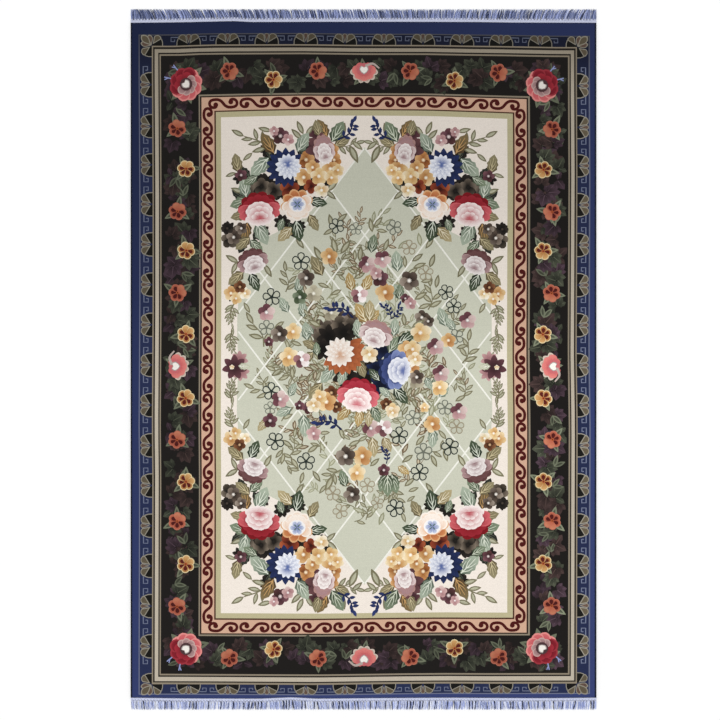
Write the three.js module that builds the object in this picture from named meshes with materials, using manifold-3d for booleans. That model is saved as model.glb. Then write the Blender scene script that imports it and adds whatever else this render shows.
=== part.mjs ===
// A fringed silk rug, 1.83 m by 2.75 m, lying flat with its pile up.
//
// Units are millimetres. X runs across the rug, Y along it and Z up. The origin is on the floor,
// under the middle of the whole rug, fringes included.
//
// The rug is a knotted cloth with a rounded pile edge, a wound cord down each long side, and at each
// end a narrow woven band whose warps leave it as a row of knotted strands.
import * as THREE from 'three';
import { mergeVertices } from 'three/addons/utils/BufferGeometryUtils.js';
import Module from 'manifold-3d';

const wasm = await Module();
wasm.setup();

// Driving dimensions
const RUG = {
  width: 1830, // over both side cords
  length: 2753, // over both fringes
};
const CLOTH = {
  thickness: 7,
  foundation: 2.5, // woven backing, below the roots of the pile
  underInset: 1, // how far the back's edge is drawn in
  pileInset: 1.8, // how far the pile's rim rolls in
};
const SIDE_CORD = { width: 5.5, height: 6.4, cornerCut: 1.7 };
const BAND = { depth: 12, height: 3.2, crown: 0.8 };
const STRANDS = { count: 150, clump: 4, clumpPull: 0.15, shortfall: 5 };
const GAP = 0.3; // air between neighbouring pieces

// Each end of the rug: which way it faces, how far its fringe reaches past the cloth, how the cloth's
// edge waves (rise is outwards), and how far the strands lean over (lean is degrees towards +X).
const ENDS = {
  top: {
    sign: 1,
    fringe: 51,
    wave: [
      { x: -915, rise: -4 },
      { x: -720, rise: -2 },
      { x: -500, rise: 3 },
      { x: -455, rise: -1 },
      { x: -160, rise: 0 },
      { x: 200, rise: 0 },
      { x: 460, rise: -1 },
      { x: 560, rise: -3 },
      { x: 915, rise: -4 },
    ],
    lean: [
      { x: -915, lean: 0 },
      { x: -850, lean: -24 },
      { x: -500, lean: -20 },
      { x: -180, lean: -12 },
      { x: 100, lean: -16 },
      { x: 330, lean: 8 },
      { x: 620, lean: 14 },
      { x: 850, lean: 22 },
      { x: 915, lean: 0 },
    ],
  },
  bottom: {
    sign: -1,
    fringe: 49,
    wave: [
      { x: -915, rise: 0 },
      { x: -700, rise: 3 },
      { x: -400, rise: 4 },
      { x: -290, rise: -2 },
      { x: -180, rise: 4 },
      { x: 0, rise: 2 },
      { x: 320, rise: 0 },
      { x: 700, rise: 2 },
      { x: 915, rise: 0 },
    ],
    lean: [
      { x: -915, lean: 0 },
      { x: -850, lean: 7 },
      { x: -560, lean: -5 },
      { x: -150, lean: 6 },
      { x: 260, lean: -4 },
      { x: 600, lean: 8 },
      { x: 850, lean: -7 },
      { x: 915, lean: 0 },
    ],
  },
};

// One strand from its knot to its tip: a share of the way along, and the size there.
const STRAND_SHAPE = [
  { along: -0.13, width: 9.6, height: 6.6 },
  { along: 0.11, width: 7.2, height: 4.2 },
  { along: 0.6, width: 7.4, height: 3.4 },
  { along: 1, width: 4.8, height: 2 },
];

const COLOURS = {
  pile: { color: 0x2b3a63, roughness: 0.62 },
  sideCord: { color: 0x161c33, roughness: 0.7 },
  fringe: { color: 0xb7bdd4, roughness: 0.65 },
};

// Reads one column of a table at x, in a straight line between its rows.
function readTable(rows, x, column) {
  const next = rows.findIndex((row) => row.x >= x);
  if (next <= 0) return (next === 0 ? rows[0] : rows[rows.length - 1])[column];
  const a = rows[next - 1];
  const b = rows[next];
  return a[column] + ((b[column] - a[column]) * (x - a.x)) / (b.x - a.x);
}

// A repeatable number between -1 and 1, so that neighbouring strands differ.
function scatter(index, salt) {
  const wide = Math.sin(index * 127.1 + salt * 311.7) * 43758.5453;
  return 2 * (wide - Math.floor(wide)) - 1;
}

// Y of the cloth's edge at one end, without its wave and then with it.
const straightEdge = (end) => end.sign * (RUG.length / 2 - end.fringe);
const clothEdge = (end, x) => straightEdge(end) + end.sign * readTable(end.wave, x, 'rise');

// A closed body through a row of rings with the same number of points, each ring running
// anticlockwise as seen from the far end of the row. caps lists the triangles of a ring's face.
function loft(rings, caps) {
  const count = rings[0].length;
  const last = (rings.length - 1) * count;
  const index = [];
  for (let r = 0; r < rings.length - 1; r += 1) {
    for (let p = 0; p < count; p += 1) {
      const a = r * count + p;
      const b = r * count + ((p + 1) % count);
      index.push(a, b, b + count, a, b + count, a + count);
    }
  }
  for (const [a, b, c] of caps) {
    index.push(c, b, a);
    index.push(last + a, last + b, last + c);
  }
  const geometry = new THREE.BufferGeometry().setFromPoints(rings.flat());
  geometry.setIndex(index);
  return geometry;
}

// Triangles of a convex ring's face.
const fanCaps = (count) => Array.from({ length: count - 2 }, (_, i) => [0, i + 1, i + 2]);

// The knotted cloth: its outline at the back, at the side and at the rolled rim of the pile.
function clothGeometry() {
  const side = RUG.width / 2 - SIDE_CORD.width - GAP;
  const stations = (end) => {
    const inner = end.wave.map((row) => row.x).filter((x) => Math.abs(x) < side);
    return [-side, ...inner, side].map((x) => new THREE.Vector2(x, clothEdge(end, x)));
  };
  const outline = [...stations(ENDS.bottom), ...stations(ENDS.top).reverse()];
  const levels = [
    { inset: CLOTH.underInset, z: 0 },
    { inset: 0, z: CLOTH.foundation },
    { inset: 0, z: CLOTH.thickness - CLOTH.pileInset },
    { inset: CLOTH.pileInset, z: CLOTH.thickness },
  ];
  const drawnIn = (p, inset) => {
    const x = Math.abs(p.x) > side - 1 ? p.x - Math.sign(p.x) * inset : p.x;
    return [x, p.y - Math.sign(p.y) * inset];
  };
  const rings = levels.map(({ inset, z }) =>
    outline.map((p) => new THREE.Vector3(...drawnIn(p, inset), z)),
  );
  return loft(rings, THREE.ShapeUtils.triangulateShape(outline, []));
}

// A wound side cord, flat where it lies, from the cloth's bottom corner to its top corner.
function sideCordGeometry() {
  const { width, height, cornerCut: cut } = SIDE_CORD;
  const half = width / 2;
  const section = new THREE.Shape([
    new THREE.Vector2(half - cut, 0),
    new THREE.Vector2(half, cut),
    new THREE.Vector2(half, height - cut),
    new THREE.Vector2(half - cut, height),
    new THREE.Vector2(cut - half, height),
    new THREE.Vector2(-half, height - cut),
    new THREE.Vector2(-half, cut),
    new THREE.Vector2(cut - half, 0),
  ]);
  const cordX = RUG.width / 2 - half;
  const far = clothEdge(ENDS.top, cordX);
  const near = clothEdge(ENDS.bottom, cordX);
  const geometry = new THREE.ExtrudeGeometry(section, { depth: far - near, bevelEnabled: false });
  geometry.rotateX(Math.PI / 2);
  geometry.translate(0, far, 0);
  return geometry;
}

// The woven band past the cloth's edge, a little crowned, from one side of the rug to the other.
function bandGeometry(end) {
  const { depth, height, crown } = BAND;
  const section = [
    { out: 0, z: 0 },
    { out: depth, z: 0 },
    { out: depth, z: height - crown },
    { out: depth / 2, z: height },
    { out: 0, z: height - crown },
  ];
  const rings = end.wave.map(({ x }) =>
    section.map(({ out, z }) => {
      const y = clothEdge(end, x) + end.sign * (GAP + out);
      return new THREE.Vector3(x, y, z);
    }),
  );
  // Seen from the far end, the section of the bottom band runs the other way round.
  if (end.sign < 0) rings.forEach((ring) => ring.reverse());
  return loft(rings, fanCaps(section.length));
}

// One strand lying on the floor: three-sided rings from the knot on the band to the loose tip.
function strandGeometry(end, k) {
  const pitch = RUG.width / STRANDS.count;
  const rootX = -RUG.width / 2 + pitch * (k + 0.5);
  const rootY = clothEdge(end, rootX) + end.sign * (GAP + BAND.depth);
  const shortfall = k % 5 === 2 ? 0 : STRANDS.shortfall * Math.abs(scatter(k, 2));
  const tipY = straightEdge(end) + end.sign * (end.fringe - shortfall);
  const reach = tipY - rootY;

  const lean = Math.tan(THREE.MathUtils.degToRad(readTable(end.lean, rootX, 'lean')));
  const inClump = (k % STRANDS.clump) - (STRANDS.clump - 1) / 2;
  const swing = lean * Math.abs(reach) - inClump * pitch * STRANDS.clumpPull + scatter(k, 5);
  // The outermost strands reach no further than the rug's own side.
  const limit = RUG.width / 2 - STRAND_SHAPE.at(-1).width;
  const tipX = THREE.MathUtils.clamp(rootX + swing, -limit, limit);

  const rings = STRAND_SHAPE.map(({ along, width, height }) => {
    const bend = Math.max(0, along) ** 1.6;
    const x = rootX + (tipX - rootX) * bend;
    const y = rootY + reach * along;
    const corners = [
      [x + width / 2, 0],
      [x, height],
      [x - width / 2, 0],
    ];
    const ring = corners.map(([px, pz]) => new THREE.Vector3(px, y, pz));
    return end.sign > 0 ? ring.reverse() : ring;
  });
  return loft(rings, fanCaps(3));
}

// A closed geometry as a solid that can be joined, and the joined solid as a geometry.
function toSolid(geometry) {
  const bare = new THREE.BufferGeometry();
  bare.setAttribute('position', geometry.getAttribute('position'));
  bare.setIndex(geometry.index);
  const merged = mergeVertices(bare, 1e-4);
  return new wasm.Manifold(
    new wasm.Mesh({
      numProp: 3,
      vertProperties: merged.getAttribute('position').array,
      triVerts: new Uint32Array(merged.index.array),
    }),
  );
}

function toGeometry(solid) {
  const mesh = solid.getMesh();
  const geometry = new THREE.BufferGeometry();
  geometry.setAttribute('position', new THREE.BufferAttribute(mesh.vertProperties, 3));
  geometry.setIndex(new THREE.BufferAttribute(mesh.triVerts, 1));
  return geometry;
}

// One end's fringe: the band and all its strands, grown together at the knots.
function fringeGeometry(end) {
  const strands = Array.from({ length: STRANDS.count }, (_, k) => strandGeometry(end, k));
  const solids = [bandGeometry(end), ...strands].map(toSolid);
  return toGeometry(wasm.Manifold.union(solids));
}

// A named mesh with flat shading normals of its own.
function piece(name, geometry, look) {
  const mesh = new THREE.Mesh(geometry, new THREE.MeshStandardMaterial({ ...look, metalness: 0 }));
  mesh.geometry.computeVertexNormals();
  mesh.name = name;
  return mesh;
}

const rug = new THREE.Group();
rug.add(piece('carpet', clothGeometry(), COLOURS.pile));

const cordX = RUG.width / 2 - SIDE_CORD.width / 2;
for (const [side, x] of [['left', -cordX], ['right', cordX]]) {
  const cord = piece(`side_cord_${side}`, sideCordGeometry(), COLOURS.sideCord);
  cord.position.x = x;
  rug.add(cord);
}

for (const [name, end] of Object.entries(ENDS)) {
  rug.add(piece(`fringe_${name}`, fringeGeometry(end), COLOURS.fringe));
}

export default rug;
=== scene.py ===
# %% [markdown]
# A fringed silk rug
#
# The rug lies flat on the floor, seen from straight above. Its plain solids come from the frame, and
# this script dresses them: first the pattern is drawn as coloured outlines, then the cloth is cut
# along them, and then the back, the cords and the fringes are added and given their yarns.

# %% The frame
import math

import bpy
import numpy as np
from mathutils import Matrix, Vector
from mathutils.geometry import delaunay_2d_cdt


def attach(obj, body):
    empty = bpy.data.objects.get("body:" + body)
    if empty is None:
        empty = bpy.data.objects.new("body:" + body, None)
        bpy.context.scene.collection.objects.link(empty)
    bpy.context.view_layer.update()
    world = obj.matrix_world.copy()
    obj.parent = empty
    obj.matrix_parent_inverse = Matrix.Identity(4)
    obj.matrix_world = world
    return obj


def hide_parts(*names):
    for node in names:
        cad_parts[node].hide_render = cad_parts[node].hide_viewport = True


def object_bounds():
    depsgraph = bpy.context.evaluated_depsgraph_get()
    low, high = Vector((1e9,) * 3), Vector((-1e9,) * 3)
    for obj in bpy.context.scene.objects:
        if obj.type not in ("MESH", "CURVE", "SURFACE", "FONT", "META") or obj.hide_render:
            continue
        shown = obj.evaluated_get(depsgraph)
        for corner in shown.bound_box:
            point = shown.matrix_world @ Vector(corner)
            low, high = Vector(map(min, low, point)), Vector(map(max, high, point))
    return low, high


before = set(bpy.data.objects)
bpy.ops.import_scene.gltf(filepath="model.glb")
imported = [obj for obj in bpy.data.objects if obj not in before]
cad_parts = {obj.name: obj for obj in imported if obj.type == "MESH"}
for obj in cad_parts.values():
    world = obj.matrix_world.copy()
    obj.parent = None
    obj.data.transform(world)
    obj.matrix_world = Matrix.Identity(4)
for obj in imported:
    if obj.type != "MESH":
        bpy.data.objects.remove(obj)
size_of_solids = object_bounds()
rng = np.random.default_rng(7)  # one fixed seed, so each run gives the same rug
print("frame loaded:", len(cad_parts), "solid pieces, box", size_of_solids)

# %% [markdown]
# Sizes
#
# A hand-knotted rug is never quite straight: its ends wave and its bands stray by up to a centimetre.
# One could model it straight and bend the finished mesh. Here the straying is kept in short tables
# and moves the drawing before the cloth is cut, so the edges, the bands and the flowers all follow it
# alike. Lengths are in centimetres, as on a weaver's chart, and become metres when a piece is made.

# %% Sizes
CM = 0.01
HALF_WIDE = 91.5  # half the rug's width, cords included
SIDE = 90.92  # half the width of the cloth, inside the side cords
THICK = 0.7
FOUNDATION = 0.25  # the height where the pile meets the back
RIM_OUT = 0.18  # how far the rounded rim reaches past the flat face
STRAIGHT_EDGE = {"top": 132.55, "bottom": -132.75}
EDGE_WAVE = {  # how far the cloth's end lies out from a straight line, at x
    "top": [(-91.5, -0.4), (-72, -0.2), (-50, 0.3), (-45.5, -0.1), (-16, 0), (20, 0), (46, -0.1),
            (56, -0.3), (91.5, -0.4)],
    "bottom": [(-91.5, 0), (-70, -0.3), (-40, -0.4), (-29, 0.2), (-18, -0.4), (0, -0.2), (32, 0),
               (70, -0.2), (91.5, 0)],
}
DRIFT = {  # how far the bands stray: up at x for the ends, to the right at y for the sides
    "top": [(-91.5, -0.5), (-72.8, -0.5), (-61.8, 0), (-23.4, 0.1), (-1.4, -0.2), (26.1, -0.2),
            (42.6, -0.5), (53.6, -0.6), (64.6, -0.8), (75.6, -1.0), (91.5, -1.0)],
    "bottom": [(-91.5, 0.2), (-72.8, 0.2), (-18, -0.1), (9.6, 0.3), (31.6, 0.5), (53.6, 0.4),
               (91.5, 0.5)],
    "left": [(-132, -0.2), (-118, -0.2), (-47, 0), (-26, -0.2), (23, 0.1), (66, 0.1), (115, -0.2)],
    "right": [(-118, 0), (-54, 0.2), (-26, 0.3), (2, -0.1), (73, 0.2), (108, 0)],
}
BLEND = {"across": 160, "along": 240}  # the lengths over which one side's drift turns into the other's
ARCH = {"rise": 0.8, "half": 54, "most": 1.1, "at": 94, "fade": 16}  # the inner frame's top edge bows


def cloth_edge(end, x):
    """y of the cloth's edge at x."""
    return STRAIGHT_EDGE[end] + np.interp(x, *np.transpose(EDGE_WAVE[end]))


def drifted(points):
    """Moves points of the drawing as the bands stray in the real cloth."""
    x, y = np.asarray(points, float).T
    up = np.interp(x, *np.transpose(DRIFT["top"]))
    low = np.interp(x, *np.transpose(DRIFT["bottom"]))
    left = np.interp(y, *np.transpose(DRIFT["left"]))
    right = np.interp(y, *np.transpose(DRIFT["right"]))
    high = np.clip(y / BLEND["along"] + 0.5, 0, 1)
    across = np.clip(x / BLEND["across"] + 0.5, 0, 1)
    bow = ARCH["rise"] * np.minimum(np.abs(x) / ARCH["half"], ARCH["most"]) ** 2
    bow = bow * np.exp(-(((y - ARCH["at"]) / ARCH["fade"]) ** 2))
    return np.stack([x + left + (right - left) * across, y + low + (up - low) * high - bow], 1)


print("sizes read; the top edge is at", cloth_edge("top", 0), "cm")

# %% [markdown]
# Drawing with patches
#
# The pattern of a knotted rug is only colour: every knot is one yarn, and a flower is a group of
# knots of like colours. It could be an image laid over the cloth, but an image blurs up close. So the
# design is drawn as flat patches, each with an outline and a colour that may shade from one end to the
# other, as a weaver shades a petal with three or four yarns. Later patches lie over earlier ones, and
# each flower and leaf comes from a small formula for its kind.

# %% Patches and outlines


def silk(code):
    """The linear colour of a yarn given as sRGB hex digits."""
    part = np.array([int(code[i:i + 2], 16) for i in (0, 2, 4)]) / 255
    return np.where(part <= 0.04045, part / 12.92, ((part + 0.055) / 1.055) ** 2.4)


class Patch:
    """An outline filled with one colour, or shading to a far one between the ends of span."""

    def __init__(self, outline, near, far=None, span=((0, 0), (0, 1))):
        self.outline = np.asarray(outline, float)
        self.near = silk(near) if isinstance(near, str) else near
        self.far = self.near if far is None else silk(far) if isinstance(far, str) else far
        self.span = np.asarray(span, float)

    def moved(self, turn, shift, dye_and_light=1.0):
        """A copy turned by a matrix, shifted, and made lighter or darker for a batch of dye and for painted
        light.
        """
        span = self.span @ turn.T + shift
        outline = self.outline @ turn.T + shift
        return Patch(outline, self.near * dye_and_light, self.far * dye_and_light, span)

    def colour_at(self, points):
        """Its colour at each of the points."""
        start, end = self.span
        way = end - start
        share = (points - start) @ way / (way @ way)
        return self.near + (self.far - self.near) * np.clip(share, 0, 1)[..., None]


def placed(patches, x, y, turn=0.0, size=1.0, dye_and_light=1.0):
    """Copies of the patches, sized, turned anticlockwise in degrees, and moved."""
    c, s = math.cos(math.radians(turn)), math.sin(math.radians(turn))
    return [p.moved(np.array([[c, -s], [s, c]]) * size, (x, y), dye_and_light) for p in patches]


def mirrored(patches, across=1, along=1):
    """Copies mirrored about the middle where across or along is -1."""
    return [p.moved(np.diag([across, along]), (0, 0)) for p in patches]


def curve(points, per=3, closed=False):
    """A smooth line through the points, with this many steps to a span."""
    p = np.asarray(points, float)
    ends = (p[-1], p[0], p[1]) if closed else (2 * p[0] - p[1], 2 * p[-1] - p[-2])
    row = np.vstack([ends[0], p, *ends[1:]])
    t = (np.arange(per) / per)[:, None]
    spans = []
    for a, b, c, d in zip(row, row[1:], row[2:], row[3:]):
        spans.append(b + (c - a) * t / 2 + (2 * a - 5 * b + 4 * c - d) * t**2 / 2
                     + (3 * b - a - 3 * c + d) * t**3 / 2)
    return np.vstack(spans if closed else [*spans, p[-1:]])


def line(points, width, tip=1.0):
    """The outline of a line along the points; tip is its far end's share of the width."""
    p = np.asarray(points, float)
    way = np.gradient(p, axis=0)
    side = np.stack([-way[:, 1], way[:, 0]], 1) / np.linalg.norm(way, axis=1, keepdims=True)
    half = width / 2 * np.linspace(1, tip, len(p))[:, None]
    return np.vstack([p + side * half, (p - side * half)[::-1]])


def disc(x, y, wide, high=None, n=10, turn=0.0):
    """An oval's outline."""
    a = np.linspace(0, 2 * np.pi, n, endpoint=False)
    c, s = math.cos(math.radians(turn)), math.sin(math.radians(turn))
    p = np.stack([wide * np.cos(a), (high or wide) * np.sin(a)], 1)
    return p @ np.array([[c, s], [-s, c]]) + (x, y)


def blade(length, width, waist=1.0, blunt=1.0, saw=0.0, n=6):
    """A leaf or petal from its base at the origin to its tip up the y axis. A waist over 1 moves
    its widest place towards the tip, and blunt under 1 rounds its ends."""
    t = 1 - (1 - np.linspace(0, 1, n + 1)) ** (1.0 if saw else 1.5)
    half = width / 2 * np.sin(np.pi * t**waist).clip(0) ** blunt
    half[1:-1:2] *= 1 - saw
    rise = t * length
    rise[1:-1:2] += saw * length / n * 0.5
    right = np.stack([half, rise], 1)
    left = np.stack([-half, rise], 1)[1:-1][::-1]
    return np.vstack([right, left])


def box(left, right, low, high, step=8.0):
    """A rectangle with points along its sides, so that it can drift."""
    def side(a, b):
        n = max(1, round(np.linalg.norm(np.subtract(b, a)) / step))
        return np.linspace(a, b, n, endpoint=False)

    corners = [(left, low), (right, low), (right, high), (left, high)]
    return np.vstack([side(a, b) for a, b in zip(corners, corners[1:] + corners[:1])])


print("drawing tools ready")

# %% [markdown]
# The bands
#
# A rug's border is a set of nested bands, from the plain navy outside to the cream field, with thin
# guard lines in tan and dark brown between the patterned ones. Each could be a frame of four strips,
# with corners to fit. It is simpler to draw whole rectangles from the outside in, so that each one
# covers the middle of the last.

# %% Bands
BANDS = [  # name, left, right, top and bottom edge in cm from the rug's middle, and yarn
    ("outer line", -88.1, 88.9, 128.1, -131.8, "696e84"),
    ("fan ground", -87.7, 88.4, 127.7, -131.4, "222a4a"),
    ("tan line 1", -82.9, 83.8, 123.7, -127.7, "8d8270"),
    ("dark line 1", -82.4, 83.3, 123.2, -127, "221d1a"),
    ("beige stripe", -81.8, 82.7, 122.4, -126.5, "bab09f"),
    ("dark line 2", -80.4, 81.4, 121, -124.8, "221d1a"),
    ("tan line 2", -79.9, 80.9, 120.4, -124.2, "8d8270"),
    ("flower ground", -79.4, 80.3, 119.8, -123.6, "191614"),
    ("tan line 3", -64.6, 65.3, 104.7, -108.7, "8d8270"),
    ("dark line 3", -64.1, 64.6, 104.1, -108.1, "2a1a14"),
    ("peach band", -63.5, 64, 103.6, -107.6, "cfa88f"),
    ("dark line 4", -58.5, 59.2, 98.5, -102.3, "4a2c20"),
    ("green stripe", -57.9, 58.6, 98, -101.7, "bab28e"),
    ("field", -55.9, 56.4, 95.9, -99.7, "efe5da"),
]
EDGE = {row[0]: dict(zip(("left", "right", "top", "bottom"), row[1:5])) for row in BANDS}
# painted sheen: the navy cloth lightens from its dull upper left to its bright lower right
NAVY = {"dull": "1a2342", "bright": "343f6f", "span": ((-91, 130), (80, -60))}  # where the nap shines
# painted shade at the top end: the darker colours that these bands turn to there
TOP_PAINTED_SHADE = {"outer line": "4c4c52", "fan ground": "12172c", "beige stripe": "9a907f"}
TOP_SHADE_SPAN = ((0, 104), (0, 122))  # painted shade: the bands darken towards the top end between these heights


def navy_cloth():
    """The whole cloth's top face in navy, with the edges that wave."""
    x = np.linspace(RIM_OUT - SIDE, SIDE - RIM_OUT, 24)
    low = np.stack([x, cloth_edge("bottom", x) + RIM_OUT], 1)
    high = np.stack([x, cloth_edge("top", x) - RIM_OUT], 1)
    y = np.linspace(low[0, 1], high[0, 1], 36)[1:-1]
    right = np.stack([np.full(len(y), x[-1]), y], 1)
    left = np.stack([np.full(len(y), x[0]), y[::-1]], 1)
    return Patch(np.vstack([low, right, high[::-1], left]), NAVY["dull"], NAVY["bright"], NAVY["span"])


bands = []
for name, left, right, high, low, yarn in BANDS:
    bands.append(Patch(box(left, right, low, high), yarn, TOP_PAINTED_SHADE.get(name), TOP_SHADE_SPAN))
print(len(bands), "nested bands")

# %% [markdown]
# Fans and hooks
#
# The narrow outer band repeats a fan of three round petals, with a black quarter on each side of it,
# and from each fan's shoulders a line runs on into a square hook. At each corner five petals open
# round it. The whole band could be drawn out, but a weaver learns one unit and repeats it, and so does
# the loop here. Units count out evenly between the corners, so that none is ever cut.

# %% The fan band
FAN = {  # outlines in cm, along the band and out from its inner line
    "side petal": [(0.4, 0.7), (4.1, 2.9), (3.9, 3.8), (2.8, 4.55), (1.7, 4.45), (0.95, 3.9)],
    "middle petal": [(0, 0.9), (0.95, 3.9), (0.6, 4.4), (0, 4.6), (-0.6, 4.4), (-0.95, 3.9)],
    "quarter": [(0.2, 0), (4.6, 0), (4.55, 1.5), (4.1, 2.9), (0.4, 0.7)],
    "hook": [(4.1, 3.4), (6.9, 3.4), (6.9, 1.7), (5.5, 1.7), (5.5, 2.5)],
}
FAN_LINES = {"quarter": 0.36, "hook": 0.42}  # widths
FAN_YARNS = {"line": "8d887b", "side": "5b5242", "middle": "5d4a40", "quarter": "12110f"}
HOOK_YARN = "6a7186"
# painted light: the fans darken at the top end and lighten along the right side
FAN_PAINTED_LIGHT = {"top": 0.72, "bottom": 1.0, "left": 1.0, "right": 1.3}
FAN_SQUEEZE = {"top": 0.96, "bottom": 0.84, "left": 1.0, "right": 1.0}  # height against the chart's
FAN_COUNT = {"top": 11, "bottom": 11, "left": 16, "right": 16}
FAN_OVERRUN = 0.9  # the fans are spaced from a little past the inner line's corners
CORNER_PETALS = ((12, 1.0, "middle"), (78, 1.0, "middle"), (45, 1.3, "side"))  # turn, size, yarn
CORNER_SIZE = 0.92


def rimmed(outline, rim, yarn, share=0.74):
    """A petal with a pale line about it."""
    outline = np.array(outline, float)
    middle = outline.mean(0)
    return [Patch(outline, rim), Patch((outline - middle) * share + middle, yarn)]


def half_fan(hooked):
    """A fan's black quarter and side petal, with the hook between them where it is wanted."""
    quarter = np.array(FAN["quarter"])
    found = [Patch(quarter, FAN_YARNS["quarter"])]
    found.append(Patch(line(quarter[1:4], FAN_LINES["quarter"]), FAN_YARNS["line"]))
    if hooked:
        found.append(Patch(line(FAN["hook"], FAN_LINES["hook"]), HOOK_YARN))
    return found + rimmed(FAN["side petal"], FAN_YARNS["line"], FAN_YARNS["side"])


def fan():
    """A whole fan, standing on its band's inner line."""
    half = half_fan(hooked=True)
    middle = rimmed(FAN["middle petal"], FAN_YARNS["line"], FAN_YARNS["middle"])
    return half + mirrored(half, across=-1) + middle


def corner_fan():
    """Five petals about an outer corner at the upper left, with a black quarter at each end."""
    found = half_fan(hooked=False)
    found += [p.moved(np.array([[0, -1], [-1, 0]]), (0, 0)) for p in found]
    for turn, size, yarn in CORNER_PETALS:
        petal = rimmed(blade(4.7, 2.5, 1.5, 0.7), FAN_YARNS["line"], FAN_YARNS[yarn])
        found += placed(petal, -0.2, 0.2, turn, size)
    return found


def fan_band():
    """Fans along all four sides, and the petals at the corners."""
    inner = EDGE["tan line 1"]
    found = []
    for side, count in FAN_COUNT.items():
        level = side in ("top", "bottom")
        first, last = (inner["left"], inner["right"]) if level else (inner["bottom"], inner["top"])
        first, last = first - FAN_OVERRUN, last + FAN_OVERRUN
        turn = {"top": 0, "bottom": 180, "left": 90, "right": -90}[side]
        unit = [p.moved(np.diag([1, FAN_SQUEEZE[side]]), (0, 0)) for p in fan()]
        for k in range(1, count):
            along = first + (last - first) * k / count
            spot = (along, inner[side]) if level else (inner[side], along)
            found += placed(unit, *spot, turn, 1.0, FAN_PAINTED_LIGHT[side])
    for across, side in ((-1, "left"), (1, "right")):
        for along, end in ((1, "top"), (-1, "bottom")):
            corner = mirrored(placed(corner_fan(), 0, 0, 0, CORNER_SIZE), -across, along)
            found += placed(corner, inner[side], inner[end])
    return found


print(len(fan_band()), "patches in the fan band")

# %% [markdown]
# Scrolls
#
# On the peach band a dark red scroll repeats: two small coils joined by a slanting stroke, the same
# shape turned half round. A spiral's formula would coil too evenly, so half a scroll is a few points
# with a smooth curve through them. The scrolls run from the corners and meet, mirrored, at the middle
# of each side, so only the upper left quarter is drawn and then mirrored.

# %% The scroll band
SCROLL_HALF = [(0.5, 2.8), (1.2, 2.65), (1.52, 3.45), (1.2, 4.6), (0.1, 5.15), (-1.0, 4.75),
               (-1.45, 3.6), (-1.45, 1.9), (-0.85, 0.75)]
SCROLL_HIGH = 11.3  # the height of scroll that these points are charted for
SCROLL_YARN = "4a1210"
STROKE, COIL = 1.12, 1.0  # the stroke's width and the coil's radius
SCROLLS = {"level": 5, "upright": 9, "half width": 61.35, "half height": 103.2, "corner": 1.3}
LYING = 0.97  # a lying scroll's length as a share of its pitch


def scroll(high):
    """One scroll standing upright: from the upper coil down to the lower right one."""
    half = np.array(SCROLL_HALF)
    path = curve(np.vstack([half, (0, 0), -half[::-1]]), per=2) * (1, high / SCROLL_HIGH)
    ends = (half[0], -half[0])
    coils = [Patch(disc(x, y * high / SCROLL_HIGH, COIL, n=8), SCROLL_YARN) for x, y in ends]
    return [Patch(line(path, STROKE), SCROLL_YARN), *coils]


def scroll_band():
    """A quarter of the scrolls, mirrored into the other three."""
    outer = EDGE["peach band"]
    centre = ((outer["left"] + outer["right"]) / 2, (outer["top"] + outer["bottom"]) / 2)
    wide, high = SCROLLS["half width"], SCROLLS["half height"]
    pitch_up = (high - SCROLLS["corner"]) / SCROLLS["upright"]
    pitch_level = wide / SCROLLS["level"]
    quarter = []
    for k in range(SCROLLS["upright"]):
        quarter += placed(scroll(pitch_up), -wide, pitch_up * (k + 0.5))
    for k in range(SCROLLS["level"]):
        lying = mirrored(scroll(pitch_level * LYING), across=-1)
        quarter += placed(lying, -pitch_level * (k + 0.5), high, 90)
    found = []
    for across in (-1, 1):
        for along in (-1, 1):
            found += placed(mirrored(quarter, across, along), *centre)
    return found


print(len(scroll_band()), "patches in the scroll band")

# %% [markdown]
# Flowers and leaves
#
# A serrated leaf has pale veins, an open leaf has a dark rim and a pale heart, a spray is a bent stem
# with open leaves, and a sprig has small solid ones. Each could be drawn once for every place where it
# grows. A function for each kind is shorter, and a leaf of any size or yarn then comes from one blade
# shape: a saw along its edge makes it serrated, and a smaller blade inside makes it open.

# %% Leaves
LEAF_YARNS = {  # at the base, at the tip, veins
    "olive": ("564a32", "8d8465", "c6b993"),
    "brown": ("3f2a1b", "7d6a48", "c59c66"),
    "tan": ("84734e", "b0a27c", "e6dcc0"),
    "gold": ("85683a", "b59b68", "eadfbd"),
    "green": ("26301f", "7b8870", "cdd3bf"),
    "mist": ("4a584a", "a3ae9b", "d9dece"),
    "dark": ("121713", "47533f", "d5dbca"),
    "night": ("100f0f", "2b2c26", "5e6455"),
    "pale": ("a3a58e", "c4c5ae", "eceadc"),
}


def leaf(yarns, length=1.0, wide=0.6):
    """A serrated leaf with a midrib and two pairs of veins, from its stalk at the origin."""
    dark, light, vein = LEAF_YARNS[yarns]
    shape = blade(length, wide * length, 0.82, 0.75, saw=0.22, n=8)
    bend = np.array([(0, 0.04), (0.015, 0.4), (0, 0.82)]) * length
    found = [Patch(shape, dark, light, ((0, 0), (0.15 * length, length * 0.75)))]
    found.append(Patch(line(bend, 0.045 * length, 0.5), vein))
    for low, high, out in ((0.1, 0.5, 0.18), (0.3, 0.7, 0.13)):
        for side in (-1, 1):
            path = np.array([(0, low), (side * out * 0.75, (low + high) / 2), (side * out, high)])
            found.append(Patch(line(path * length, 0.04 * length, 0.4), vein))
    return found


OPEN_YARNS = {  # rim, pale heart
    "olive": ("7a755b", "bdbca3"),
    "brown": ("6f5a42", "cbc1a7"),
    "dark": ("383a30", "9fa18b"),
    "pale": ("949478", "c6c6b0"),
    "mist": ("74846f", "cad3c2"),
    "shade": ("666b58", "34372c"),
}


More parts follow.
